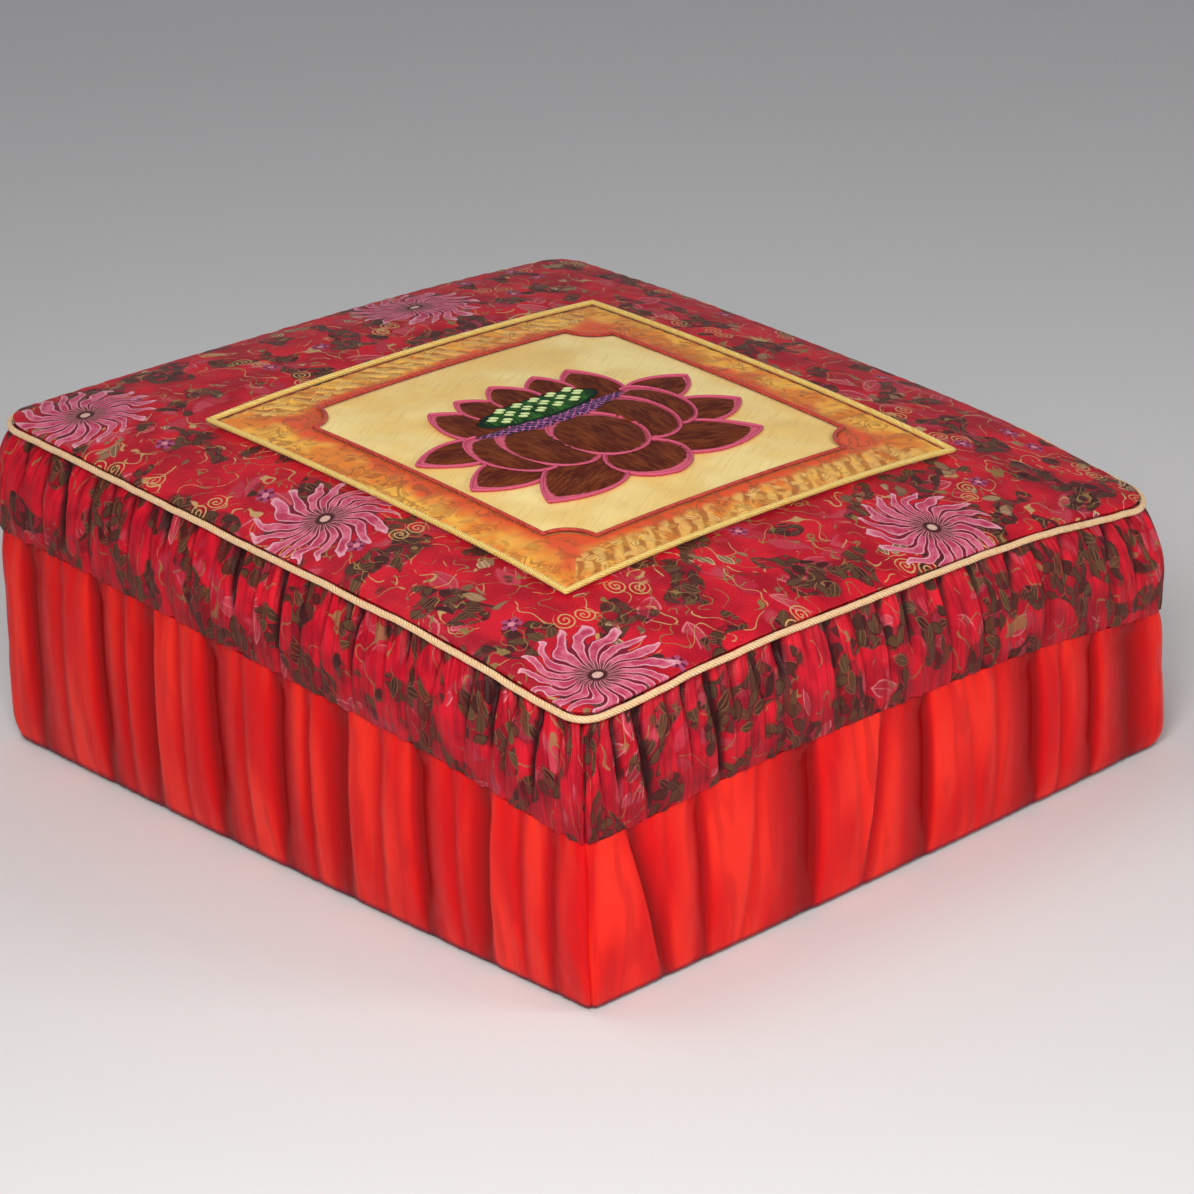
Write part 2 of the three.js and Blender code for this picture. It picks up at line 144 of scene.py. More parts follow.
def aim_camera(azimuth, elevation, roll, distance, target, lens):
    back, right = direction(azimuth, elevation), direction(azimuth + 90, 0)
    up = back.cross(right)
    bank = math.radians(roll)
    banked_right = right * math.cos(bank) + up * math.sin(bank)
    banked_up = up * math.cos(bank) - right * math.sin(bank)
    data = bpy.data.cameras.new("camera")
    data.lens = lens
    data.sensor_width = 36
    camera = add_to_scene("camera", data)
    camera.matrix_world = Matrix((banked_right, banked_up, back)).transposed().to_4x4()
    camera.location = home + target + back * distance
    bpy.context.scene.camera = camera
    return camera


camera = aim_camera(
    azimuth=47.7, elevation=22.45, roll=-2, distance=2.4, target=Vector((0.0189, -0.0012, 0.097)), lens=125.3)
print("the camera stands at", [round(c, 2) for c in camera.location])

# %% Lamps and sky
lamp_aim = Vector((0, 0, 0.1))


def add_lamp(name, azimuth, elevation, distance, size, power):
    data = bpy.data.lights.new(name, "AREA")
    data.shape = "DISK"
    data.size = size
    data.energy = power
    lamp = add_to_scene(name, data)
    back = direction(azimuth, elevation)
    lamp.location = lamp_aim + back * distance
    lamp.rotation_euler = (-back).to_track_quat("-Z", "Y").to_euler()


add_lamp("key", 42, 34, 1.7, 0.6, 17)
add_lamp("side", 112, 24, 1.8, 0.7, 7)
add_lamp("top", 320, 70, 1.7, 0.8, 5)

sky = bpy.data.worlds.new("sky")
sky.use_nodes = True
sky_light = sky.node_tree.nodes["Background"].inputs
sky_light["Color"].default_value = (0.9, 0.92, 1, 1)
sky_light["Strength"].default_value = 0.28
bpy.context.scene.world = sky
bpy.context.scene.view_settings.view_transform = "Standard"
print("three lamps and a pale sky")


# %% Floor
def as_piece(name, mesh):
    """Makes a finished bmesh an object of the scene."""
    for face in mesh.faces:
        face.smooth = True
    data = bpy.data.meshes.new(name)
    mesh.to_mesh(data)
    mesh.free()
    return add_to_scene(name, data)


floor_mesh = bmesh.new()
bmesh.ops.create_grid(floor_mesh, x_segments=2, y_segments=2, size=6)
floor = as_piece("floor", floor_mesh)
floor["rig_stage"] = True
print("the floor has", len(floor.data.polygons), "faces")

# %% [markdown]
# ## Going round the plan
#
# Both bands, the piping and the rim of the top follow one outline: a rectangle with round corners and
# slightly swollen sides. A place on it is a share `u` of the whole way round. It starts at the seam down the
# near corner, where the bands' own ends are sewn together.

# %% Outline of the plan
corner_signs = [(1, -1, -90), (1, 1, 0), (-1, 1, 90), (-1, -1, 180)]
arc_share = 42 * mm  # the way given to a corner, more than its length, so that it is stepped finely
stretches = [arc_share / 2] + [depth, arc_share, width, arc_share, depth, arc_share, width] + [arc_share / 2]
way_round = sum(stretches)


def around(u):
    """The stretch of the outline at u and the share of it: even stretches are corners, odd ones sides."""
    way = (u % 1) * way_round
    last = len(stretches) - 1
    for number, length in enumerate(stretches):
        if way <= length or number == last:
            share = min(1, way / length)
            if number == 0:
                return 0, 0.5 + share / 2
            return (0, share / 2) if number == last else (number, share)
        way -= length


def plan_place(u, reach, radius, near_radius):
    """Place, outward direction, face and distance from the near corner, on the outline grown by reach."""

    def arc_end(corner, degrees):
        side_x, side_y, _ = corner
        round_by = near_radius if corner == corner_signs[0] else radius
        middle = Vector((side_x * (width / 2 + reach - round_by), side_y * (depth / 2 + reach - round_by), 0))
        out = Vector((math.cos(math.radians(degrees)), math.sin(math.radians(degrees)), 0))
        return middle + out * round_by, out

    stretch, share = around(u)
    corner = corner_signs[stretch // 2]
    if stretch % 2 == 0:
        place, out = arc_end(corner, corner[2] + 90 * share)
        face = "x" if (share < 0.5) == (stretch % 4 == 0) else "y"
        hidden = stretch == 4 or (stretch == 2 and share >= 0.5) or (stretch == 6 and share < 0.5)
    else:
        start, out = arc_end(corner, corner[2] + 90)
        end, _ = arc_end(corner_signs[(stretch // 2 + 1) % 4], corner[2] + 90)
        place = start.lerp(end, share) + out * side_swell * math.sin(math.pi * share)
        face = "y" if stretch % 4 == 1 else "x"
        hidden = stretch in (3, 5)
    along = width / 2 - place.x if face == "x" else place.y + depth / 2
    length = width if face == "x" else depth
    return place, out, face, (length - along if hidden else along)


print("the way round is about", round(way_round, 2), "m")


# %% Smooth profiles through a few rows
def through(rows, up):
    """Values of the rows (up, value, ...) at a height, on a smooth curve through them."""
    heights = [row[0] for row in rows]
    number = max(0, min(len(rows) - 2, sum(1 for h in heights if h <= up) - 1))
    low, high = rows[number], rows[number + 1]
    before, after = rows[max(0, number - 1)], rows[min(len(rows) - 1, number + 2)]
    step = high[0] - low[0]
    share = (up - low[0]) / step
    values = []
    for k in range(1, len(low)):
        slope_low = (high[k] - before[k]) / (high[0] - before[0]) * step
        slope_high = (after[k] - low[k]) / (after[0] - low[0]) * step
        values.append(
            (2 * share**3 - 3 * share**2 + 1) * low[k] + (share**3 - 2 * share**2 + share) * slope_low
            + (3 * share**2 - 2 * share**3) * high[k] + (share**3 - share**2) * slope_high)
    return values


def soft_step(low, high, value):
    share = max(0, min(1, (value - low) / (high - low)))
    return share * share * (3 - 2 * share)


print("half way up a plain slope:", through([(0, 0), (1, 2)], 0.5))


# %% A cloth laid out by a rule
touching = 0.01 * mm  # points nearer than this are one


def lay_cloth(name, columns, rows, place, flat=lambda u, v: (u, v)):
    """A grid of cloth, each point (u, v) put at place(u, v). flat(u, v) is where it lies on the cut cloth."""
    mesh = bmesh.new()
    cut = mesh.loops.layers.uv.new("cut")
    bmesh.ops.create_grid(mesh, x_segments=columns, y_segments=rows, size=1)
    shares = {point: ((point.co.x + 1) / 2, (point.co.y + 1) / 2) for point in mesh.verts}
    for face in mesh.faces:
        for loop in face.loops:
            loop[cut].uv = flat(*shares[loop.vert])
    for point, (u, v) in shares.items():
        point.co = home + place(u, v)
    bmesh.ops.remove_doubles(mesh, verts=mesh.verts, dist=touching)
    return as_piece(name, mesh)


def dress(piece, slot, *nodes):
    """Puts a finished piece on the body, in place of its nodes."""
    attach(piece, "root")
    if nodes:
        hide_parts(*nodes)
    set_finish(piece, slot)
    print(piece.name, len(piece.data.polygons), "faces")


# %% [markdown]
# ## How cloth settles
#
# Gathered cloth is longer than the seam it is sewn to, and the filling presses it out. Blender's cloth solver
# does both: the rest shape is the same ring a few hundredths longer, the seam rows are held, and a light
# pressure blows the rest out. No point may move further than a cap, so the piece keeps its size.


# %% Cloth simulation
def settle(piece, held, ease, pressure, frames, cap):
    """Simulates the piece with ease, the share of spare length. held(co) is 1 where it is sewn down."""
    start = np.empty(len(piece.data.vertices) * 3)
    piece.data.vertices.foreach_get("co", start)
    start = start.reshape(-1, 3)
    pins = piece.vertex_groups.new(name="sewn")
    for number, point in enumerate(start):
        pins.add([number], held(Vector(point) - home), "REPLACE")
    piece.shape_key_add(name="sewn up")
    cut = piece.shape_key_add(name="cut cloth")
    for number, point in enumerate(start):
        spread = (Vector(point) - home) * (1 + ease)
        cut.data[number].co = home + Vector((spread.x, spread.y, point[2]))
    cloth = piece.modifiers.new("cloth", "CLOTH")
    settings = cloth.settings
    settings.quality = 6
    settings.mass = 0.004
    settings.tension_stiffness = 8
    settings.compression_stiffness = 8
    settings.shear_stiffness = 2
    settings.bending_stiffness = 0.05
    settings.use_pressure = True
    settings.uniform_pressure_force = pressure
    settings.vertex_group_mass = "sewn"
    settings.rest_shape_key = cut
    settings.effector_weights.gravity = 0
    cloth.collision_settings.use_collision = False
    cloth.collision_settings.use_self_collision = False
    cloth.point_cache.frame_start = 1
    cloth.point_cache.frame_end = frames
    for number in range(1, frames + 1):
        bpy.context.scene.frame_set(number)
    moved = np.empty(len(start) * 3)
    settled = piece.evaluated_get(bpy.context.evaluated_depsgraph_get())
    settled.data.vertices.foreach_get("co", moved)
    shift = moved.reshape(-1, 3) - start
    far = np.linalg.norm(shift, axis=1)
    shift *= (cap * np.tanh(far / cap) / np.maximum(far, 1e-9))[:, None]
    piece.modifiers.remove(cloth)
    piece.shape_key_clear()
    piece.data.vertices.foreach_set("co", (start + shift).ravel())
    piece.data.update()
    bpy.context.scene.frame_set(1)
    average, most = round(far.mean() / mm, 2), round(far.max() / mm, 1)
    print(piece.name, "moved", average, "mm on average,", most, "at most, before the cap")


# %% Subdivision and closed ends
def subdivide(piece, times=1):
    """Applies subdivision to the piece."""
    smooth = piece.modifiers.new("smooth", "SUBSURF")
    smooth.levels = smooth.render_levels = times
    smooth.uv_smooth = "NONE"
    evaluated = piece.evaluated_get(bpy.context.evaluated_depsgraph_get())
    finer = bpy.data.meshes.new_from_object(evaluated)
    piece.modifiers.remove(smooth)
    piece.data = finer


def close_ends(piece):
    """Closes each open rim with a fan to its middle, inside the seam or under the emblem."""
    mesh = bmesh.new()
    mesh.from_mesh(piece.data)
    left = {edge for edge in mesh.edges if edge.is_boundary}
    while left:
        rim, front = [], [left.pop()]
        while front:
            edge = front.pop()
            rim.append(edge)
            edge.smooth = False
            near = {other for point in edge.verts for other in point.link_edges} & left
            left -= near
            front += near
        made = bmesh.ops.extrude_edge_only(mesh, edges=rim)["geom"]
        inner = [part for part in made if isinstance(part, bmesh.types.BMVert)]
        middle = sum((point.co for point in inner), Vector()) / len(inner)
        bmesh.ops.pointmerge(mesh, verts=inner, merge_co=middle)
    bmesh.ops.recalc_face_normals(mesh, faces=mesh.faces)
    mesh.to_mesh(piece.data)
    mesh.free()


# %% Thickness
def thicken(piece, thick):
    """Gives a sheet its thickness below the laid face."""
    solid = piece.modifiers.new("thickness", "SOLIDIFY")
    solid.thickness = thick
    solid.offset = -1


# %% Fine folds, and a note of where the cloth lies deep
def cut_places(piece):
    """Each point's share of the way round and up, read from where it lies on the cut cloth."""
    cut = piece.data.uv_layers["cut"].uv
    places = {}
    for loop in piece.data.loops:
        places.setdefault(loop.vertex_index, tuple(cut[loop.index].vector))
    return places


def press_folds(piece, rule):
    """Moves each point against its normal by rule(u, v)."""
    places = cut_places(piece)
    normals = [point.normal.copy() for point in piece.data.vertices]
    for number, point in enumerate(piece.data.vertices):
        point.co -= normals[number] * rule(*places[number])
    piece.data.update()


def note_hollows(piece, depth_of):
    """Keeps how deep each point lies in a fold, from 0 to 1, for the finish to paint shade with."""
    hollow = piece.data.attributes.new("hollow", "FLOAT", "POINT")
    places = cut_places(piece)
    for number, point in enumerate(piece.data.vertices):
        hollow.data[number].value = max(0, min(1, depth_of(*places[number], point.co)))


print("ready to sew")

# %% [markdown]
# ## The base cloth
#
# The underside is one plain sheet, cut to a rectangle with round corners and sewn all round to the satin. It
# is pulled flat by the filling, so it is laid flat here, a little under the band.

# %% Lay the base cloth
base_tuck = 6 * mm
base_corner = 12 * mm


def base_place(u, v):
    place, *_ = plan_place(u, -base_tuck, base_corner, base_corner)
    return Vector((place.x * (1 - v), place.y * (1 - v), base_top))


base = lay_cloth("base_sheet", 240, 14, base_place, lambda u, v: base_place(u, v)[:2])
thicken(base, base_top)
dress(base, "base_cloth", "base_panel")

# %% [markdown]
# ## The satin band
#
# The lower band is plain red satin, gathered at both seams into soft upright folds. The big folds are placed
# one by one, because a person's hands set them. The cloth solver gives the ease between the seams, and small
# puckers are pressed in next to them.

# %% A place on a band, and what is sewn down
near_corner_share = 0.5  # the seam draws the near corner tighter than the others


def band_place(u, up, rows, low_z, high_z):
    """Place, outward direction, face and way along it, on a band before its folds are pressed in."""
    reach, radius = through(rows, up)
    place, out, face, along = plan_place(u, reach, radius, near_corner_share * radius)
    low, high = low_z(place.x, place.y), high_z(place.x, place.y)
    return Vector((place.x, place.y, low + up * (high - low))), out, face, along


def sewn_down(low_z, high_z, lowest, highest):
    """A rule that holds a band below and above two shares of its height."""

    def held(place):
        low, high = low_z(place.x, place.y), high_z(place.x, place.y)
        share = (place.z - low) / (high - low)
        return 1.0 if share < lowest or share > highest else 0.0

    return held


print("the near corner has", near_corner_share, "of the others' radius")

# %% Folds of the satin
# share of the height, how far the cloth stands out past the outline, and the corners' radius
satin_rows = [(0, 3 * mm, 12 * mm), (0.07, 6 * mm, 13 * mm), (0.3, 7 * mm, 15 * mm), (0.6, 6.5 * mm, 16 * mm),
              (0.9, 6 * mm, 17 * mm), (1, 4.6 * mm, 18 * mm)]
satin_deepest = 8 * mm
# distance from the near corner, width on the near and the far side, depth, and lean at the floor, in mm
satin_folds = {
    "x": [(21, 10, 5, 5, 2), (44, 7, 3, 3, 0), (69, 4, 13, 8, 3), (96, 5, 5, 3, -4), (124, 14, 5, 8, -3),
          (152, 5, 9, 3, 3), (183, 5, 15, 9, 2), (214, 6, 4, 4, 0), (240, 16, 5, 8, 0), (270, 4, 7, 3, -3),
          (301, 18, 5, 9, -6), (326, 5, 5, 3, 0), (352, 5, 13, 8, 3), (378, 5, 6, 4, 0), (405, 15, 5, 8, -4),
          (436, 5, 8, 3, 3), (468, 18, 8, 7, 0)],
    "y": [(26, 3, 8, 8, 22), (50, 5, 4, 1.5, -5), (75, 10, 4, 6, 2), (117, 4, 6, 2, -14),
          (159, 30, 3, 9, -2), (188, 4, 5, 1.5, 5), (212, 3, 8, 4, -16), (247, 22, 3, 8, -1),
          (276, 5, 6, 1.5, 8), (303, 6, 5, 2, -3), (337, 26, 3, 8, 0), (356, 3, 6, 3, 0), (387, 14, 3, 7, -2),
          (418, 22, 18, 8, 2)],
}


def satin_trough(face, along, up):
    """How deep the folds lie, with a sharp crease and an easy slope to each side."""
    pressed = 0
    for at, near_wide, far_wide, deep, lean in satin_folds[face]:
        away = along / mm - at - lean * (1 - up)
        wide = near_wide if away < 0 else far_wide
        pressed += deep * mm * max(0, 1 - abs(away) / (1.8 * wide)) ** 2
    return pressed


def sewn_share(up):
    """How much of a fold is left next to the seams, which hold the cloth flat."""
    return (0.12 + 0.88 * soft_step(0, 0.35, up)) * (0.3 + 0.7 * soft_step(0, 0.14, 1 - up))


def satin_place(u, up):
    return band_place(u, up, satin_rows, lambda x, y: base_top + seam_gap,
                      lambda x, y: band_seam_z(x, y) - seam_gap / 2)


# %% Puckers next to the seams
def pucker(along, spacing, seed):
    """An uneven ripple between 0 and 1, about one for each spacing, with sharp valleys."""
    drift = noise.noise(Vector((along / spacing * 0.31, seed, 0))) * 2.2
    return 1 - abs(math.sin(math.pi * along / spacing + drift)) ** 0.7


def fade(away, reach):
    """1 where away is 0, and less and less beyond its reach."""
    return math.exp(-((away / reach) ** 2))


def corner_seam(u):
    """The groove of the seam down the near corner."""
    return 1.5 * mm * fade(min(u, 1 - u) * way_round, 1.8 * mm)


def satin_pucker(u, up):
    way = u * way_round
    at_top = fade(1 - up, 0.07) * pucker(way, 8 * mm, 1.5)
    below = fade(1 - up, 0.3) * pucker(way, 21 * mm, 3.5)
    at_floor = fade(up, 0.05) * pucker(way, 10 * mm, 2.5)
    return (0.9 * at_top + 0.7 * below + 0.3 * at_floor) * mm + corner_seam(u)


def satin_pressed(u, up):
    _, _, face, along = satin_place(u, up)
    return 0.75 * satin_trough(face, along, up) * sewn_share(up) + satin_pucker(u, up)


# %% Sew the satin band
satin = lay_cloth("satin_cloth", 330, 18, lambda u, up: satin_place(u, up)[0])
satin_held = sewn_down(lambda x, y: base_top, band_seam_z, 0.03, 0.985)


def satin_depth(u, up, spot):
    """Read from the folds alone, so that puckers get none of the painted shade and keep the satin's bright
    colour.
    """
    _, _, face, along = satin_place(u, up)
    return satin_trough(face, along, up) / satin_deepest


settle(satin, satin_held, 0.06, 1.5, 20, 3 * mm)
subdivide(satin, 2)
press_folds(satin, satin_pressed)
note_hollows(satin, satin_depth)
close_ends(satin)
dress(satin, "red_satin", "satin_band")

# %% [markdown]
# ## The brocade band
#
# The upper band is brocade in fine gathers. It swells a little past the piping, where the filling is fullest,
# and tucks back under it.

# %% Gathers of the brocade
brocade_rows = [(0, 5.6 * mm, 17 * mm), (0.16, 7 * mm, 19 * mm), (0.52, 7.6 * mm, 22 * mm),
                (0.93, 1 * mm, 24 * mm), (1, -3 * mm, 24 * mm)]
brocade_deepest = 6 * mm
# distance from the near corner, width and depth, in mm
brocade_pleats = {
    "x": [(12, 5, 3), (34, 5, 6), (52, 4, 3), (66, 6, 6), (84, 4, 4), (108, 4, 3), (130, 5, 5), (148, 4, 3),
          (170, 5, 5), (196, 4, 3), (216, 4, 4), (235, 6, 7), (252, 4, 3), (270, 7, 7), (290, 4, 3),
          (311, 4, 3), (332, 6, 6), (348, 4, 3), (364, 5, 4), (386, 4, 3), (404, 5, 4), (430, 7, 6),
          (448, 4, 3), (464, 5, 4)],
    "y": [(8, 4, 3), (22, 5, 5), (40, 7, 6), (56, 4, 3), (72, 4, 4), (90, 6, 6), (104, 4, 3), (120, 4, 3),
          (137, 8, 7), (156, 4, 3), (178, 5, 4), (196, 4, 3), (214, 4, 4), (236, 6, 5), (250, 4, 3),
          (266, 5, 4), (290, 4, 3), (318, 6, 5), (340, 4, 3), (362, 5, 4), (382, 4, 3), (400, 6, 5),
          (424, 4, 3)],
}


def brocade_place(u, up):
    return band_place(u, up, brocade_rows, lambda x, y: band_seam_z(x, y) + seam_gap / 2,
                      lambda x, y: piping_z(x, y) - seam_gap / 2)


def brocade_pleated(u, up):
    """The pleats set one by one: sharp, and each as long as chance made it."""
    _, _, face, along = brocade_place(u, up)
    pressed = 0
    for at, wide, deep in brocade_pleats[face]:
        away = along / mm - at - 2.5 * math.sin(3 * up + at)
        length = 0.75 + 0.35 * math.sin(at)
        share = 0.25 + 0.75 * soft_step(0, 0.3, length - (1 - up)) * (0.4 + 0.6 * soft_step(0, 0.12, 1 - up))
        pressed += share * deep * mm * max(0, 1 - abs(away) / wide) ** 1.5
    return pressed


def brocade_gathers(u, up):
    way = u * way_round
    sway = 1.6 * mm * noise.noise(Vector((way * 20, up * 3, 0)))
    gathers = 2 * pucker(way + sway, 12.3 * mm, 4.1) + 1.1 * pucker(way - sway, 6.6 * mm, 7.7)
    depth_here = 0.5 + 0.5 * fade(1 - up, 0.3) + 0.3 * fade(up, 0.15)
    depth_here *= 0.65 + 0.7 * noise.noise(Vector((way * 14, 5, up)))
    return gathers * depth_here * mm + brocade_pleated(u, up) + corner_seam(u)


# %% Sew the brocade band
brocade = lay_cloth("brocade_band_cloth", 380, 12, lambda u, up: brocade_place(u, up)[0])
brocade_held = sewn_down(band_seam_z, piping_z, 0.04, 0.96)


def brocade_depth(u, up, spot):
    place, out, _, _ = brocade_place(u, up)
    return (home + place - spot).dot(out) / brocade_deepest


settle(brocade, brocade_held, 0.05, 1.5, 18, 2.5 * mm)
subdivide(brocade, 2)
press_folds(brocade, brocade_gathers)
note_hollows(brocade, brocade_depth)
close_ends(brocade)
dress(brocade, "red_brocade", "brocade_band")

# %% [markdown]
# ## The top panel
#
# The top is cut almost flat and crowned by the filling. It is laid out in rings from the rim inwards. The rim
# and the part under the emblem are sewn down, and the cloth between them settles with a little ease, which
# gives the soft puckers along the piping.

# %% Sew the top panel
top_rings = [1, 0.996, 0.99, 0.981, 0.968, 0.948, 0.925, 0.9, 0.874, 0.847, 0.82, 0.79, 0.76, 0.73, 0.7, 0.66,
             0.6, 0.52, 0.42, 0.3, 0.16]
top_corner, top_near_corner = 24 * mm, 12 * mm


def top_place(u, inwards):
    number = round(inwards * len(top_rings))
    tucked = -3.6 * mm if number == 0 else -1.5 * mm
    share = top_rings[max(0, number - 1)]
    place, _, _, along = plan_place(u, tucked, top_corner, top_near_corner)
    if number == 0:
        return Vector((place.x, place.y, piping_z(place.x, place.y) + seam_gap))
    x, y = place.x * share, place.y * share
    return Vector((x, y, crown_z(x, y) - fade(1 - share, 0.05) * 1.1 * mm * pucker(along, 13 * mm, 9.2)))


top = lay_cloth("top_cloth", 420, len(top_rings), top_place)
emblem_x, emblem_y = 17 * mm, -8 * mm
emblem_half = 151.5 * mm
rim_held = 4 * mm


def top_held(place):
    under_emblem = max(abs(place.x - emblem_x), abs(place.y - emblem_y)) < emblem_half
    at_rim = max(abs(place.x) - width / 2, abs(place.y) - depth / 2) + rim_held > 0
    return 1.0 if under_emblem or at_rim else 0.0


settle(top, top_held, 0.02, 2.0, 20, 3 * mm)
subdivide(top)
close_ends(top)
dress(top, "red_brocade", "top_panel")

# %% [markdown]
# ## Piping and cords
#
# A cord is a tube with a relief: piping is smooth bias cloth over a filler cord, and a twisted cord shows its
# plies as a screw. One helper makes both: the grid's first way runs along the cord and its second round it.


# %% A cord round a path
ply_depth = 0.18  # how deep the grooves between plies are, as a share of the radius


def lay_cord(name, path, radius, stations, sides, plies=0, pitch=6 * mm):
    """path(share) gives the middle line's place and outward direction; plies turn once in each pitch."""
    spots = [path(k / stations) for k in range(stations + 1)]
    way = [0.0]
    for k in range(stations):
        way.append(way[-1] + (spots[k + 1][0] - spots[k][0]).length)
    print(name, "is", round(way[-1], 3), "m long")

    def place(u, v):
        number = round(u * stations)
        middle, out = spots[number]
        angle = 2 * math.pi * v - math.pi / 2
        turns = round(way[-1] / pitch) / way[-1]
        ply = abs(math.cos(plies / 2 * (angle - 2 * math.pi * way[number] * turns))) if plies else 1
        reach = radius * (1 - ply_depth + ply_depth * ply)
        return middle + out * reach * math.cos(angle) + Vector((0, 0, reach * math.sin(angle)))

    def flat(u, v):
        return way[round(u * stations)], v * 2 * math.pi * radius

    return lay_cloth(name, stations, sides, place, flat)


piping_radius = 1.9 * mm
piping_corner, piping_near_corner = 26 * mm, 14 * mm


def piping_path(share):
    place, out, _, _ = plan_place(share, 0, piping_corner, piping_near_corner)
    sway = 0.8 * mm * noise.noise(place * 30) + 0.35 * mm * noise.noise(place * 90)
    return Vector((place.x, place.y, piping_z(place.x, place.y) + sway)), out


piping = lay_cord("piping_cord", piping_path, piping_radius, 900, 16)
dress(piping, "gold_piping", "edge_piping")

# %% [markdown]
# ## The emblem
#
# The emblem is a square of orange-gold damask with a gold field let into it. The field's corners are hollow
# quarter circles, outlined with a red cord, and a twisted gold cord runs round the square. The sheets lie on
# the crown, so their height comes from the same rule as the top cloth.

# %% Outlines of the emblem
field_half = 116 * mm
hollow_radius = 20 * mm
edge_room = 2.6 * mm  # half the width that the gold cord takes at the edge
sheet = 1.4 * mm  # the sheets' upper faces, over the top cloth
sheet_thick = 1.2 * mm
gold_cord_radius = 1.8 * mm
red_cord_radius = 1.25 * mm
red_cord_height = 1.16 * mm  # its middle line, over the sheets
emblem_centre = Vector((emblem_x, emblem_y, 0))


def field_outline(share, grow=0.0):
    """Place and outward direction on the field's outline: four sides, with a hollow corner after each."""
    half = field_half + grow
    hollow = hollow_radius + 0.4 * grow
    side, rest = divmod((share % 1) * 4, 1)
    straight = 0.86
    if rest < straight:
        local = Vector((half, (half - hollow) * (2 * rest / straight - 1), 0))
        out = Vector((1, 0, 0))
    else:
        angle = (rest - straight) / (1 - straight) * math.pi / 2
        out = Vector((math.sin(angle), math.cos(angle), 0))
        local = Vector((half, half, 0)) - out * hollow
    turn = Matrix.Rotation(side * math.pi / 2, 3, "Z")
    return turn @ local, turn @ out


def square_outline(share, half):
    local, _ = field_outline(share)
    reach = max(abs(local.x), abs(local.y))
    out = Vector([math.copysign(1, c) if abs(c) > reach - 0.01 * mm else 0 for c in local])
    out.z = 0
    return local * (half / reach), out


def on_crown(local, above):
    place = emblem_centre + local
    return Vector((place.x, place.y, crown_z(place.x, place.y) + above))


# %% Border and field
def border_relief(local):
    """Bar-like wrinkles across the strips, where the damask is drawn in by its seams."""
    reach_x, reach_y = abs(local.x), abs(local.y)
    along = local.y if reach_x > reach_y else local.x
    outwards = (max(reach_x, reach_y) - field_half) / (emblem_half - field_half)
    middle = math.sin(math.pi * max(0, min(1, outwards)))
    return middle * (0.9 * mm * pucker(along, 11 * mm, 3.3) + 0.5 * mm * noise.noise(local * 60))


def border_place(u, v):
    inner, _ = field_outline(u, seam_gap / 2)
    outer, _ = square_outline(u, emblem_half - 2 * edge_room - seam_gap)
    local = outer.lerp(inner, v)
    return on_crown(local, seam_gap + sheet + border_relief(local))


def field_place(u, v):
    local, _ = field_outline(u, -seam_gap / 2)
    local = local * (1 - v)
    ease = 0.35 * mm * noise.noise(local * 45) + 0.2 * mm * noise.noise(local * 130)
    return on_crown(local, seam_gap + sheet + ease * min(1, v * 8))


border = lay_cloth("border_damask", 560, 14, border_place)
thicken(border, sheet_thick)
dress(border, "gold_damask", "emblem_border")

field = lay_cloth("field_satin_cloth", 280, 40, field_place)
thicken(field, sheet_thick)
dress(field, "field_satin", "field_panel")


# %% Cords of the emblem
def emblem_cord_path(share):
    local, out = square_outline(share, emblem_half - edge_room)
    return on_crown(local, seam_gap + edge_room), out


def field_cord_path(share):
    local, out = field_outline(share)
    return on_crown(local, seam_gap + sheet + red_cord_height), out


emblem_cord = lay_cord(
    "emblem_gold_cord", emblem_cord_path, gold_cord_radius, 1600, 12, plies=3, pitch=7 * mm)
dress(emblem_cord, "gold_cord", "emblem_cord")
field_cord = lay_cord(
    "field_red_cord", field_cord_path, red_cord_radius, 1200, 10, plies=2, pitch=4 * mm)
dress(field_cord, "red_cord", "field_cord")

# %% [markdown]
# ## The lotus
#
# The lotus is drawn from the +X side: across is +Y and up is -X. Each petal is a low pad of dense brown
# stitches with a couched pink outline. A petal that lies behind others stops where they begin, so the pads
# are made from front to back and each is cut away under the outlines that came before it.

# %% Outlines of the lotus
lotus_middle = Vector((-6 * mm, -10 * mm, 0))  # across and up, from the emblem's middle
# name, foot, tip and width in mm, how pointed, height in mm, and whether there is one on each side
petal_rows = [
    ("bowl_petal_middle", (0, -43), (0, 20), 54, 0.5, 3, False),
    ("bowl_petal_inner", (27, -38), (40, 26), 46, 0.55, 2.6, True),
    ("bowl_petal_outer", (47, -30), (62, 30), 42, 0.6, 2.3, True),
    ("low_petal_middle", (0, -30), (0, -76), 52, 0.55, 2.2, False),
    ("low_petal_side", (16, -38), (82, -60), 44, 0.85, 2, True),
    ("side_petal_lower", (50, -18), (103, -21), 36, 0.85, 1.8, True),
    ("side_petal_upper", (54, 14), (104, 24), 32, 0.85, 1.8, True),
    ("back_petal_middle", (0, 40), (0, 80), 30, 0.8, 1.6, False),
    ("back_petal_inner", (20, 38), (30, 76), 28, 0.8, 1.6, True),
    ("back_petal_outer", (42, 20), (53, 72), 34, 0.8, 1.6, True),
]


def petal_outline(base, tip, wide, point, share):
    """Place on a petal's outline, round at the base and pointed at the tip, and its share of the spine."""
    widest = 0.5 / (0.5 + point)
    spine = tip - base
    side = Vector((-spine.y, spine.x, 0)).normalized()
    way = -1 if share < 0.5 else 1
    half_turn = 2 * share if share < 0.5 else 2 - 2 * share
    t = (1 - math.cos(math.pi * half_turn)) / 2
    half_wide = wide / 2 * (t / widest) ** 0.5 * ((1 - t) / (1 - widest)) ** point
    return base + spine * t + side * (way * half_wide)


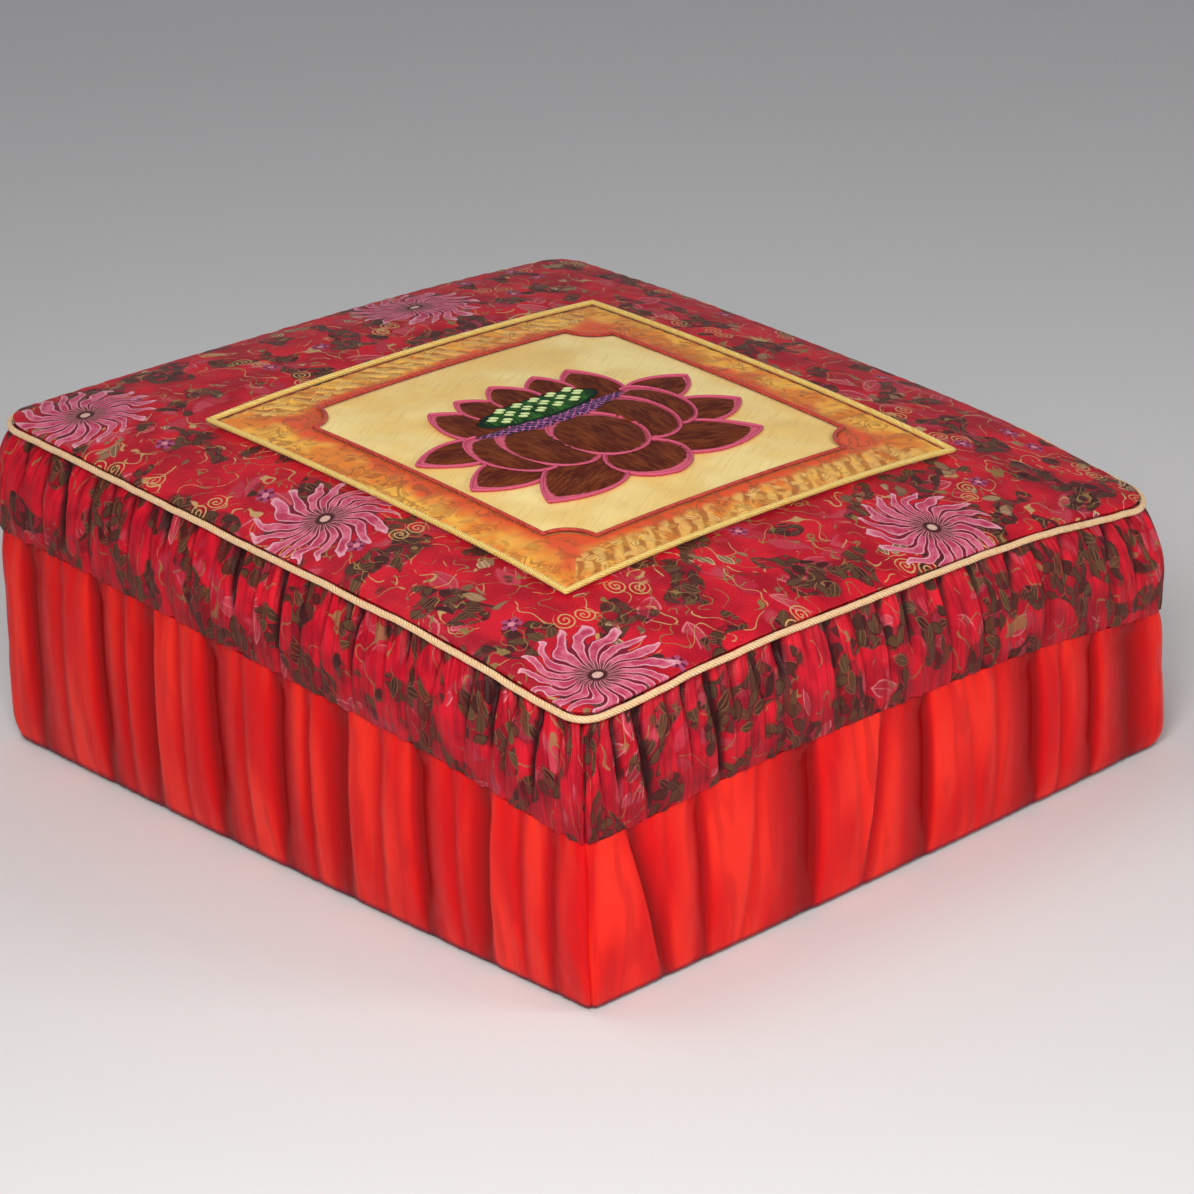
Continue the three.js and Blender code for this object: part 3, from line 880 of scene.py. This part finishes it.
def inside(spot, outline):
    """True if a spot of the lotus's plane lies inside a closed outline."""
    if (spot - outline[0]).length > 120 * mm:
        return False
    odd = False
    for k, here in enumerate(outline):
        there = outline[k - 1]
        if (here.y > spot.y) != (there.y > spot.y):
            if spot.x < here.x + (there.x - here.x) * (spot.y - here.y) / (there.y - here.y):
                odd = not odd
    return odd


def under(spot, outlines):
    """True if a spot lies inside any of the outlines in front of it."""
    return any(inside(spot, outline) for outline in outlines)


def on_field(spot, above):
    """A spot of the lotus's plane, on the field."""
    across, up, _ = spot + lotus_middle
    return on_crown(Vector((-up, across, 0)), seam_gap + sheet + 0.3 * mm + above)


# %% A pad of stitches
pad_rings = 9
rim_share = 0.45  # how high a pad still is at its rim


def close_mesh(mesh):
    """Fills the open rims and turns the faces outwards."""
    bmesh.ops.holes_fill(mesh, edges=[edge for edge in mesh.edges if edge.is_boundary])
    bmesh.ops.recalc_face_normals(mesh, faces=mesh.faces)


def stitch_pad(name, outline, high, in_front=(), spine_of=lambda spot: (spot.x, spot.y)):
    """A low domed pad inside an outline, cut away where it lies under the outlines in front of it."""
    count = len(outline)
    middle = sum(outline, Vector()) / count
    mesh = bmesh.new()
    stitches = mesh.loops.layers.uv.new("cut")
    to_edge = mesh.verts.layers.float.new("hollow")
    bmesh.ops.create_grid(mesh, x_segments=count, y_segments=pad_rings, size=1)
    spots = {}
    tip = max(spine_of(spot)[1] for spot in outline)
    for point in mesh.verts:
        edge = outline[round((point.co.x + 1) / 2 * count) % count]
        share = 1 - (point.co.y + 1) / 2
        spots[point] = middle + (edge - middle) * share
        point[to_edge] = share + 0.25 * share * max(0, spine_of(spots[point])[1] / tip) ** 5
        dome = rim_share * high + (1 - rim_share) * high * (1 - share**3)
        point.co = home + on_field(spots[point], dome * mm)
    for face in mesh.faces:
        for loop in face.loops:
            loop[stitches].uv = spine_of(spots[loop.vert])
    middles = {face: sum((spots[point] for point in face.verts), Vector()) / 4 for face in mesh.faces}
    hidden = [face for face, spot in middles.items() if under(spot, in_front)]
    bmesh.ops.delete(mesh, geom=hidden, context="FACES")
    bmesh.ops.remove_doubles(mesh, verts=mesh.verts, dist=touching)
    rim = [edge for edge in mesh.edges if edge.is_boundary]
    made = bmesh.ops.extrude_edge_only(mesh, edges=rim)["geom"]
    for point in made:
        if isinstance(point, bmesh.types.BMVert):
            local = point.co - home
            point.co.z = crown_z(local.x, local.y) + seam_gap + sheet + 0.1 * mm
    close_mesh(mesh)
    return as_piece(name, mesh)


couched_radius = 1.05 * mm
couched_sides = 6


def couched_cord(mesh, outline, in_front, above):
    """Adds the outline's cord to a mesh, without what lies under the outlines in front; gives its length."""
    count = len(outline)
    rings = []
    for k, spot in enumerate(outline):
        ahead, behind = outline[(k + 1) % count], outline[k - 1]
        side = Vector((ahead.y - behind.y, behind.x - ahead.x, 0)).normalized()
        reach = couched_radius * (0.9 + 0.1 * math.cos(2 * k))
        ring = []
        for turn in range(0 if under(spot, in_front) else couched_sides):
            angle = 2 * math.pi * turn / couched_sides
            rise = above + couched_radius * 0.8 * math.sin(angle)
            ring.append(mesh.verts.new(home + on_field(spot + side * reach * math.cos(angle), rise)))
        rings.append(ring)
    laid = 0
    for k, ring in enumerate(rings):
        following = rings[(k + 1) % count]
        if ring and following:
            laid += (outline[(k + 1) % count] - outline[k]).length
            for turn in range(couched_sides):
                after = (turn + 1) % couched_sides
                mesh.faces.new((ring[turn], following[turn], following[after], ring[after]))
    return laid


# %% Embroider the petals
outlines = {}
seed_middle = Vector((0, 38.5 * mm, 0))
seed_half = Vector((45 * mm, 13.5 * mm, 0))
seed_outline = [seed_middle + Vector((seed_half.x * math.cos(a), seed_half.y * math.sin(a), 0))
                for a in (2 * math.pi * k / 72 for k in range(72))]


def stamen_edge(share, side):
    half_wide = 5 * mm * math.sqrt(1 - 0.9 * share * share)
    return Vector((share * 56 * mm, 18.5 * mm + 9 * mm * share * share + side * half_wide, 0))


stamen_outline = [stamen_edge(k / 20 - 1, -1) for k in range(41)]
stamen_outline += [stamen_edge(1 - k / 20, 1) for k in range(41)]
in_front = [stamen_outline, seed_outline]
cords = bmesh.new()
couched = 0
for name, base, tip, wide, point, high, pair in petal_rows:
    for way, suffix in ((1, "_right"), (-1, "_left")) if pair else ((1, ""),):
        foot = Vector((base[0] * way, base[1], 0)) * mm
        head = Vector((tip[0] * way, tip[1], 0)) * mm
        outline = [petal_outline(foot, head, wide * mm, point, k / 96) for k in range(96)]
        spine = head - foot
        across = Vector((-spine.y, spine.x, 0)).normalized()

        def spine_of(spot, foot=foot, spine=spine, across=across):
            return (spot - foot).dot(across), (spot - foot).dot(spine) / spine.length

        petal = stitch_pad("stitched_" + name + suffix, outline, high, in_front, spine_of)
        dress(petal, "petal_thread", name + suffix)
        couched += couched_cord(cords, outline, in_front, high * rim_share * mm + 0.4 * mm)
        in_front.append(outline)
close_mesh(cords)
print("the couched cord is", round(couched, 2), "m long")
petal_cords = as_piece("petal_outlines", cords)
dress(petal_cords, "petal_thread")

# %% Seed head and stamens
seed_head = stitch_pad("stitched_seed_head", seed_outline, 3)
dress(seed_head, "seed_thread", "seed_head")

seeds = bmesh.new()
seed_rows = [(7, 5, -23), (0.5, 6, -34), (-6, 5, -29)]  # height, count and first place of each, in mm
seed_pitch = 13
dash = Matrix.Rotation(math.radians(45), 4, "Z") @ Matrix.Diagonal((3.1 * mm, 0.95 * mm, 0.8 * mm, 1))
for up, count, start in seed_rows:
    for k in range(count):
        for way in (-1, 1):
            spot = seed_middle + Vector((start + seed_pitch * k + way * 1.56, up + way * 0.96, 0)) * mm
            lay = Matrix.Translation(home + on_field(spot, 2.9 * mm)) @ dash
            bmesh.ops.create_icosphere(seeds, subdivisions=2, radius=1, matrix=lay)
seeds_piece = as_piece("stitched_seeds", seeds)
dress(seeds_piece, "seed_thread")

stamens = stitch_pad("stitched_stamens", stamen_outline, 2.2)
dress(stamens, "stamen_thread", "stamens")


# %% [markdown]
# ## Finishes
#
# Every finish is reckoned from where a point lies, with no picture laid on it, though some paint light and
# shade into their colour, as each one says. A small helper lets what a node gives out be reckoned with like a
# number, which keeps each pattern as short as its rule. Lengths in the patterns are in millimetres.


# %% Reckoning with nodes
def dye(red, green, blue):
    """A dye given as 0 to 255 on a screen, as the light it sends back."""
    return (*[((c / 255 + 0.055) / 1.055) ** 2.4 for c in (red, green, blue)], 1)


def join(value, socket):
    if isinstance(value, Wire):
        socket.id_data.links.new(value.socket, socket)
    else:
        socket.default_value = value


def add_node(tree, kind, inputs=None, **settings):
    """A new node with its settings, and its inputs joined to wires or set to plain values."""
    node = tree.nodes.new("ShaderNode" + kind)
    for name, value in settings.items():
        setattr(node, name, value)
    for place, value in (inputs or {}).items():
        join(value, node.inputs[place])
    return node


def working(operation):
    """A way of reckoning with one of the math node's operations."""
    return lambda self, *others: self.reckon(operation, *others)


class Wire:
    """What a node gives out, which can be reckoned with like a number."""

    def __init__(self, socket):
        self.socket, self.tree = socket, socket.id_data

    def reckon(self, operation, *others):
        inputs = dict(enumerate((self, *others)))
        return Wire(add_node(self.tree, "Math", inputs, operation=operation).outputs[0])

    __add__, __sub__ = working("ADD"), working("SUBTRACT")
    __mul__, __truediv__ = working("MULTIPLY"), working("DIVIDE")
    __lt__, __gt__ = working("LESS_THAN"), working("GREATER_THAN")
    away, most, least = working("ABSOLUTE"), working("MAXIMUM"), working("MINIMUM")
    sine, cosine, fraction = working("SINE"), working("COSINE"), working("FRACT")

    def rest(self):
        """What a share leaves of the whole."""
        return (self - 1.0).away()

    def repeat(self, pitch):
        """The distance from the nearest of places a pitch apart."""
        return self.reckon("WRAP", pitch / 2, -pitch / 2)

    def from_to(self, low, high):
        """0 below low and 1 above high, with a soft step between them."""
        inputs = {"Value": self, "From Min": low, "From Max": high}
        return Wire(add_node(self.tree, "MapRange", inputs, interpolation_type="SMOOTHSTEP").outputs[0])


def radius_of(x, y):
    return (x * x + y * y).reckon("SQRT")


def angle_of(x, y):
    return y.reckon("ARCTAN2", x)


# %% Colour, cloudiness and scattered motifs
def mix(share, first, second):
    """first where share is 0 and second where it is 1."""
    return Wire(add_node(share.tree, "Mix", {0: share, 6: first, 7: second}, data_type="RGBA").outputs[2])


def together(x, y, z=0.0):
    return Wire(add_node(x.tree, "CombineXYZ", {0: x, 1: y, 2: z}).outputs[0])


def apart(socket, kind="XYZ"):
    """The three parts of a place, or those of a colour where the kind is Color."""
    node = add_node(socket.id_data, "Separate" + kind, {0: Wire(socket)})
    return [Wire(part) for part in node.outputs]


def cloud(x, y, size, seed=0.0, detail=2.0, stretch=1.0, bend=0.0):
    """Soft noise between 0 and 1 with lumps of a size, drawn out along y by stretch."""
    where = together(x / size, y / (size * stretch), seed)
    inputs = {"Vector": where, "Scale": 1, "Detail": detail, "Distortion": bend}
    return Wire(add_node(x.tree, "TexNoise", inputs).outputs["Fac"])


def scatter(x, y, spacing, seed=0.0, loose=1.0):
    """Place within the nearest of scattered motifs, turned its own way, with two chance numbers."""
    x, y = x + seed * 61.0, y - seed * 37.0
    inputs = {"Vector": together(x, y), "Scale": 1 / spacing, "Randomness": loose}
    node = add_node(x.tree, "TexVoronoi", inputs, voronoi_dimensions="2D")
    middle_x, middle_y, _ = apart(node.outputs["Position"])
    turn, chance, other = apart(node.outputs["Color"], "Color")
    turn, off_x, off_y = turn * (2 * math.pi), x - middle_x, y - middle_y
    along = off_x * turn.cosine() + off_y * turn.sine()
    across = off_y * turn.cosine() - off_x * turn.sine()
    return along, across, chance, other


# %% A finish
def begin(name, rough, sheen=0.0, sheen_tint=(1, 1, 1, 1), gloss=0.5):
    """A new material with its plain values, and its node tree."""
    material = bpy.data.materials.new(name)
    material.use_nodes = True
    plain = {"Roughness": rough, "Sheen Weight": sheen, "Sheen Roughness": 0.4, "Sheen Tint": sheen_tint,
             "Specular IOR Level": gloss}
    for socket, value in plain.items():
        material.node_tree.nodes["Principled BSDF"].inputs[socket].default_value = value
    return material, material.node_tree


def complete(material, colour, height=None, deep=0.0, rough=None):
    """Joins the colour, a relief of height times deep in mm, and an uneven roughness to the shader."""
    tree = material.node_tree
    shader = tree.nodes["Principled BSDF"]
    join(colour, shader.inputs["Base Color"])
    if rough:
        join(rough, shader.inputs["Roughness"])
    if height:
        raised = add_node(tree, "Bump", {"Distance": deep * mm, "Height": height})
        join(Wire(raised.outputs["Normal"]), shader.inputs["Normal"])
    return material


def spot_on_body(tree):
    """Place on the body in mm."""
    return [part * 1000.0 for part in apart(add_node(tree, "TexCoord").outputs["Object"])]


def spot_on_cloth(tree, wide=1000.0, high=1000.0):
    """Place on the cut cloth: its two shares or lengths, scaled to mm by wide and high."""
    way, up, _ = apart(add_node(tree, "UVMap", uv_map="cut").outputs["UV"])
    return way * wide, up * high


def hollow_of(tree):
    return Wire(add_node(tree, "Attribute", attribute_name="hollow").outputs["Fac"])


# %% [markdown]
# ## Brocade
#
# The brocade is red, with woven chrysanthemum medallions on a lattice, clusters of brown and olive leaves,
# gold tendrils, paired spirals and small purple rosettes. Each motif is a traditional one and is drawn by its
# own rule. The top reads its place on the body; the band reads the cut cloth, so its figure is squeezed by
# the gathers as the real one is.


# %% Chrysanthemum medallions
def medallions(x, y, under_them):
    """Round flowers of narrow curling petals, 215 mm apart one way and 250 mm the other."""
    off_x = (x - 10.0).repeat(215)
    off_y = (y + 190.0).repeat(250)
    radius = radius_of(off_x, off_y)
    swirl = (radius * 0.13 + cloud(x, y, 30.0, 4.0) * 5.0).sine() * 0.2 + cloud(x, y, 22.0, 6.0) * 0.5
    petal = ((angle_of(off_x, off_y) + swirl) * 17.0).cosine()
    far = (radius - 20.0).most(0.0) / 21.0
    level = petal + 0.72 - far * far * 1.65
    body = mix(cloud(x, y, 9.0, 2.0).from_to(0.35, 0.65), dye(196, 58, 92), dye(226, 112, 138))
    petals = mix(level.from_to(0.25, 0.8), dye(240, 166, 178), body)
    lined = mix(level.from_to(-0.05, 0.12), dye(128, 14, 46), petals)
    filament = mix(radius.from_to(9.0, 15.0), mix(petal.from_to(-0.2, 0.4), lined, dye(104, 62, 50)), lined)
    eye = mix(radius.from_to(4.4, 6.2), dye(70, 30, 30), filament)
    middle = mix(radius.from_to(2.4, 3.2), dye(232, 186, 170), eye)
    shown = (level + (radius * -1.0 + 41.0) / 38.0).from_to(0.0, 0.1)
    return mix(shown, under_them, middle)


# %% Leaves, tendrils, spirals and rosettes
def leaves(x, y, ground, spacing, where, dark, light, rim, seed):
    """Pointed leaves with a vein and a pale rim, scattered where a share is 1."""
    along, across, chance, other = scatter(x, y, spacing, seed)
    shape = across.away() / (spacing * 0.3) + (along / (spacing * 0.66)) * (along / (spacing * 0.66))
    leaf = mix(chance, dark, light)
    veined = mix(across.away().from_to(0.1, 0.5), mix(other.from_to(0.5, 0.8), leaf, rim), leaf)
    rimmed = mix(shape.from_to(0.78, 0.9), veined, mix(other.from_to(0.55, 0.8), dark, rim))
    return mix(shape.from_to(1.0, 1.08).rest() * where, ground, rimmed)


def tendrils(x, y, ground, size, seed, colour):
    line = (cloud(x, y, size, seed, 1.0) - 0.5).away()
    broken = cloud(x, y, 17.0, seed + 3.0).from_to(0.46, 0.5)
    return mix(line.from_to(0.004, 0.009).rest() * broken, ground, colour)


def spirals(x, y, ground):
    """Pairs of small mirrored spirals."""
    along, across, chance, _ = scatter(x, y, 48.0, 5.0, 0.7)
    side = along.away() - 6.0
    radius = radius_of(side, across)
    wound = (radius / 2.9 - angle_of(side, across) / (2 * math.pi)).fraction()
    line = (wound < 0.3) * (radius < 6.4) * (chance > 0.6)
    return mix(line, ground, dye(214, 168, 104))


def rosettes(x, y, ground):
    along, across, chance, _ = scatter(x, y, 40.0, 9.0, 0.9)
    radius = radius_of(along, across)
    petal = (angle_of(along, across) * 5.0).cosine()
    flower = mix(petal.from_to(-0.8, 0.1), dye(104, 14, 48), dye(176, 74, 112))
    dotted = mix(radius.from_to(1.6, 2.2), dye(228, 140, 156), flower)
    shown = (radius - petal * 0.8 < 5.2) * (chance > 0.72)
    return mix(shown, ground, dotted)


# %% The whole figure
def brocade_ground(x, y, thread, size, bare):
    """Red ground with soft petals, tendrils of one thread, and clumps of leaves over a share of it."""
    ground = mix(cloud(x, y, 30.0, 1.0).from_to(0.35, 0.65), dye(176, 4, 32), dye(222, 20, 42))
    petal_where = cloud(x, y, 46.0, 12.0).from_to(0.53, 0.57)
    dark, light, rim = dye(190, 30, 54), dye(206, 70, 84), dye(226, 120, 126)
    petals = leaves(x, y, ground, 21.0, petal_where, dark, light, rim, 3.0)
    tendrilled = tendrils(x, y, petals, 26.0 * size, 7.0, thread)
    leafy = cloud(x, y, 27.0 * size, 5.0, 1.0).from_to(bare, bare + 0.03)
    shaded = mix(leafy * 0.5, tendrilled, dye(92, 8, 26))
    under = leaves(x, y, shaded, 8.0 * size, leafy, dye(74, 18, 24), dye(96, 58, 40), dye(122, 84, 58), 6.0)
    return leaves(x, y, under, 9.5 * size, leafy, dye(60, 18, 20), dye(98, 68, 42), dye(120, 88, 54), 1.0)


def brocade_figure(x, y):
    """The brocade's colour at x, y in mm."""
    pale_where = cloud(x, y, 34.0, 21.0).from_to(0.62, 0.64)
    ground = brocade_ground(x, y, dye(206, 160, 104), 1.0, 0.54)
    dark, light, rim = dye(122, 84, 62), dye(176, 138, 100), dye(222, 190, 146)
    pale = leaves(x, y, ground, 11.0, pale_where, dark, light, rim, 2.0)
    small = rosettes(x, y, spirals(x, y, tendrils(x, y, pale, 18.0, 15.0, dye(150, 118, 66))))
    return medallions(x, y, small)


# %% Brocade for the top and for the band
def top_brocade():
    material, tree = begin("red_brocade_top", 0.45, 0.05, dye(255, 120, 120), 0.25)
    x, y, _ = spot_on_body(tree)
    sway = (cloud(x, y, 60.0, 31.0) - 0.5) * 14.0
    colour = brocade_figure(x + sway, y - sway)
    grain = cloud(x, y, 1.1, 40.0)
    woven = mix(grain.from_to(0.3, 0.7) * 0.3, colour, dye(60, 0, 16))
    height = grain * 0.5 + cloud(x, y, 16.0, 44.0) * 2.0
    return complete(material, woven, height, 0.35, rough=cloud(x, y, 6.0, 42.0) * 0.25 + 0.34)


band_cut_wide = way_round / mm * 1.5  # the cloth is longer than the seam it is gathered to
band_cut_high = 74.0
band_cut_start = 117.0


def band_brocade():
    material, tree = begin("red_brocade_band", 0.45, 0.02, dye(255, 120, 120), 0.18)
    way, up = spot_on_cloth(tree, band_cut_wide, band_cut_high)
    colour = brocade_ground(way, up + band_cut_start, dye(166, 104, 68), 1.35, 0.5)
    streak = cloud(way, up, 5.0, 51.0, 1.0, 9.0)
    fine = cloud(way, up, 3.6, 57.0, 1.0, 12.0)
    # Painted shade: darker along the streaks and fine pleats where the relief dips, and very dark deep in the
    # hollows of the gathers. The band is also darker towards its lower seam.
    deep = hollow_of(tree).from_to(0.25, 0.8)
    shaded = mix(streak.from_to(0.5, 0.62) * 0.35, colour, dye(126, 0, 22))
    pleats_painted_shade = mix(fine.from_to(0.6, 0.68) * 0.35, shaded, dye(84, 0, 16))
    lower = mix(up.from_to(18.0, 40.0).rest() * 0.25, pleats_painted_shade, dye(90, 0, 14))
    height = (streak + fine * 0.5) * -1.5 + cloud(way, up, 1.2, 54.0) * 0.2
    return complete(material, mix(deep * 0.96, lower, dye(44, 0, 6)), height, 0.9)


# %% [markdown]
# ## Satin and plain cloths
#
# Satin is smooth along its floating threads, so it is glossy on the ridges and goes deep red in the folds,
# where light only comes back from other cloth. Both are painted into its colour as well: brighter orange-red
# patches as painted sheen, and painted shade in the folds, read from the note of the hollows that was kept
# while sewing. The plain cloths show their weave.


# %% Red satin and the base cloth
satin_cut_wide = way_round / mm * 1.1
satin_cut_high = 116.0


def red_satin():
    material, tree = begin("red_satin_folds", 0.36, gloss=0.16)
    way, up = spot_on_cloth(tree, satin_cut_wide, satin_cut_high)
    deep = hollow_of(tree)
    wide = cloud(way, up, 38.0, 3.0, 1.0, 3.0)
    # Painted sheen: red satin whose brighter orange-red patches stand in for its highlights.
    satin_with_painted_sheen = mix(wide.from_to(0.35, 0.65), dye(222, 10, 14), dye(248, 46, 30))
    streak = cloud(way, up, 13.0, 5.0, 1.0, 5.0, 0.5)
    # Painted shade: darker streaks along fine creases.
    crease_painted_shade = mix(streak.from_to(0.5, 0.66) * 0.4, satin_with_painted_sheen, dye(196, 6, 18))
    # Painted shade: darker on the slopes into each fold, and deepest red at its bottom, by the note of the
    # hollows.
    slope_painted_shade = mix(deep.from_to(0.0, 0.4), crease_painted_shade, dye(196, 0, 10))
    fold_painted_shade = mix(deep.from_to(0.25, 0.9), slope_painted_shade, dye(148, 0, 4))
    sewn = mix(up.from_to(1.2, 3.0).rest() * 0.6, fold_painted_shade, dye(96, 10, 40))
    height = streak * 1.6 + cloud(way, up, 0.7, 9.0, 1.0, 30.0) * 0.04
    return complete(material, sewn, height, 0.6, rough=cloud(way, up, 10.0, 8.0) * 0.2 + 0.3)


weave_pitch = 1.6


def base_cloth():
    material, tree = begin("base_cloth_weave", 0.8, 0.2)
    x, y, _ = spot_on_body(tree)
    weave = (x * (2 * math.pi / weave_pitch)).sine() * (y * (2 * math.pi / weave_pitch)).sine()
    worn = mix(cloud(x, y, 40.0, 2.0), dye(128, 12, 20), dye(156, 22, 28))
    return complete(material, worn, weave, 0.2)


# %% [markdown]
# ## The emblem's cloths
#
# The border is a damask of orange gold with brown clouds. On two of its sides it is drawn in, and the pale
# and brown bars that cross it there are painted light and shade of those wrinkles. It turns orange-red next
# to the field. The field is gold satin with faint slanting streaks.


# %% Damask and field satin
bar_pitch = 11.5


def gold_damask():
    material, tree = begin("gold_damask_figure", 0.45, 0.2, dye(255, 220, 150))
    x, y, _ = spot_on_body(tree)
    off_x, off_y = x - emblem_x / mm, y - emblem_y / mm
    reach_x, reach_y = off_x.away(), off_y.away()
    reach = reach_x.most(reach_y)
    warm = mix(cloud(x, y, 26.0, 2.0).from_to(0.4, 0.6), dye(232, 130, 38), dye(250, 184, 70))
    red_edge = (reach + cloud(x, y, 40.0, 6.0) * 46.0).from_to(141.0, 157.0)
    ground = mix(red_edge, dye(230, 80, 34), warm)
    swirl = cloud(x, y, 15.0, 8.0, 1.0, 1.0, 1.4)
    clouds = (swirl - 0.5).away().from_to(0.02, 0.05)
    patch = swirl.from_to(0.55, 0.62) * 0.4
    figured = mix(patch, ground, dye(142, 74, 26))
    drawn = clouds.rest() * cloud(x, y, 30.0, 11.0).from_to(0.42, 0.5) * 0.6
    outlined = mix(drawn, figured, dye(134, 70, 26))
    bar = ((off_y + reach_x * 0.7) * (2 * math.pi / bar_pitch) + cloud(x, y, 24.0, 13.0) * 7.0).sine()
    # Painted light and shade: the bars on the drawn-in strips go pale and brown with the wrinkles' relief.
    bars_painted_light_and_shade = mix(bar.from_to(-0.8, 0.4), dye(172, 98, 32), dye(244, 190, 98))
    leafy = cloud(x, y, 12.0, 19.0).from_to(0.42, 0.45)
    crossed = leaves(x, y, bars_painted_light_and_shade, 9.0, leafy, dye(214, 150, 60), dye(246, 206, 120), dye(132, 70, 24), 8.0)
    on_strip = (reach_x - reach_y > 6.0) * reach.from_to(122.0, 128.0) * reach.from_to(142.0, 147.0).rest()
    broken = cloud(x, y, 16.0, 17.0).from_to(0.36, 0.5)
    height = bar * on_strip + cloud(x, y, 1.1, 15.0) * 0.3 + patch
    return complete(material, mix(on_strip * broken * 0.75, outlined, crossed), height, 0.45)


def field_satin():
    material, tree = begin("field_satin_weave", 0.34, 0.25, dye(255, 240, 200))
    x, y, _ = spot_on_body(tree)
    slant, square = x * 0.87 + y * 0.5, y * 0.87 - x * 0.5
    streak = cloud(slant, square, 1.6, 3.0, 2.0, 16.0)
    wide = cloud(x, y, 55.0, 5.0)
    gold = mix(wide.from_to(0.35, 0.65), dye(246, 204, 114), dye(255, 228, 150))
    streaked = mix(streak.from_to(0.5, 0.75) * 0.3, gold, dye(204, 156, 76))
    height = streak + cloud(x, y, 24.0, 9.0) * 4.0
    return complete(material, streaked, height, 0.25, rough=streak * 0.22 + 0.24)


# %% [markdown]
# ## Cords and stitches
#
# A cord's fibres run slantwise round it, so its finish reads the way along and the way round, and paints
# light and shade on the fibres and in the grooves. Stitches run along each petal's spine and catch the light
# one by one, which is painted in as lighter threads.


# %% Cords
def cord_finish(name, dark, light, rough, pitch, slope):
    """Fibres that go round the cord slantwise, with painted light and shade on them, and painted shade in the
    grooves between plies.
    """
    material, tree = begin(name, rough, 0.2)
    way, round_it = spot_on_cloth(tree)
    fibre = cloud(way + round_it * slope, round_it, 0.55, 3.0, 1.0, 8.0)
    groove = ((way + round_it * slope) * (math.pi / pitch)).sine().away()
    # Painted light and shade: fibres in the dark and the light dye, and the grooves between plies in the dark
    # one.
    lit = mix(fibre.from_to(0.3, 0.7), dark, light)
    height = groove.from_to(0.0, 0.6) + fibre * 0.3
    return complete(material, mix(groove.from_to(0.0, 0.35), dark, lit), height, 0.35)


# %% Stitches
stitch_pitch = 1.1


def stitch_finish(name, dark, middle, light, edge=None):
    """Long stitches in two dyes, with painted highlights of a third, lighter one on the raised threads, and
    an edge of another one.
    """
    material, tree = begin(name, 0.55, gloss=0.15)
    across, along = spot_on_cloth(tree)
    thread = cloud(across, along, 0.75, 2.0, 2.0, 16.0)
    patch = cloud(across, along, 5.0, 6.0, 2.0, 4.0)
    base_dye = mix(patch.from_to(0.4, 0.65), dark, middle)
    # Painted highlight: the raised threads take the light dye.
    stitched = mix(thread.from_to(0.5, 0.75), base_dye, light)
    if edge:
        near_edge = (hollow_of(tree) + patch * 0.12).from_to(0.96, 1.02)
        stitched = mix(near_edge, stitched, edge)
    height = thread + (across * (2 * math.pi / stitch_pitch)).sine() * 0.3
    return complete(material, stitched, height, 0.5)


def stamen_finish():
    """A net of violet threads over navy ones."""
    material, tree = begin("stamen_stitches", 0.5, 0.04, gloss=0.25)
    across, up = spot_on_cloth(tree)
    bent = cloud(across, up, 6.0, 2.0) * 5.0
    one = ((across + up * 1.3 + bent) * (math.pi / 4.6)).sine().away()
    other = ((across - up * 1.3 - bent) * (math.pi / 5.7)).sine().away()
    net = one.least(other)
    violet = mix(cloud(across, up, 2.5, 5.0).from_to(0.4, 0.6), dye(128, 52, 116), dye(206, 112, 170))
    return complete(material, mix(net.from_to(0.3, 0.5), violet, dye(34, 22, 62)), net * -1.0, 0.6)


def floor_finish():
    material, tree = begin("pale_floor", 0.75)
    x, y, _ = spot_on_body(tree)
    return complete(material, mix(cloud(x, y, 300.0, 1.0), dye(226, 224, 220), dye(230, 228, 225)))


# %% Give each piece its finish
finishes = {
    "red_satin": red_satin(),
    "base_cloth": base_cloth(),
    "gold_piping": cord_finish("gold_piping_bias", dye(236, 176, 116), dye(255, 226, 178), 0.36, 2.2, 1.0),
    "gold_damask": gold_damask(),
    "gold_cord": cord_finish("gold_cord_twist", dye(244, 184, 74), dye(255, 238, 142), 0.4, 2.4, 1.6),
    "field_satin": field_satin(),
    "red_cord": cord_finish("red_cord_twist", dye(160, 28, 14), dye(236, 78, 40), 0.45, 1.9, 1.4),
    "petal_thread": stitch_finish(
        "petal_stitches", dye(88, 26, 4), dye(120, 52, 12), dye(150, 76, 40), dye(224, 100, 124)),
    "seed_thread": stitch_finish(
        "seed_head_stitches", dye(12, 50, 18), dye(36, 96, 34), dye(78, 132, 60), dye(16, 44, 30)),
    "stamen_thread": stamen_finish(),
}
band_cloth = band_brocade()
top_brocade_cloth = top_brocade()
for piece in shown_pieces():
    piece.data.materials.clear()
    finish = finishes.get(piece.get("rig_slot"))
    piece.data.materials.append(finish or (top_brocade_cloth if piece == top else band_cloth))
petal_cords.data.materials[0] = stitch_finish(
    "outline_thread", dye(198, 76, 106), dye(228, 108, 136), dye(246, 164, 178))
seeds_piece.data.materials[0] = stitch_finish(
    "seed_stitches", dye(196, 214, 140), dye(226, 234, 180), dye(248, 248, 220))
floor.data.materials.append(floor_finish())
print(len(bpy.data.materials), "finishes")
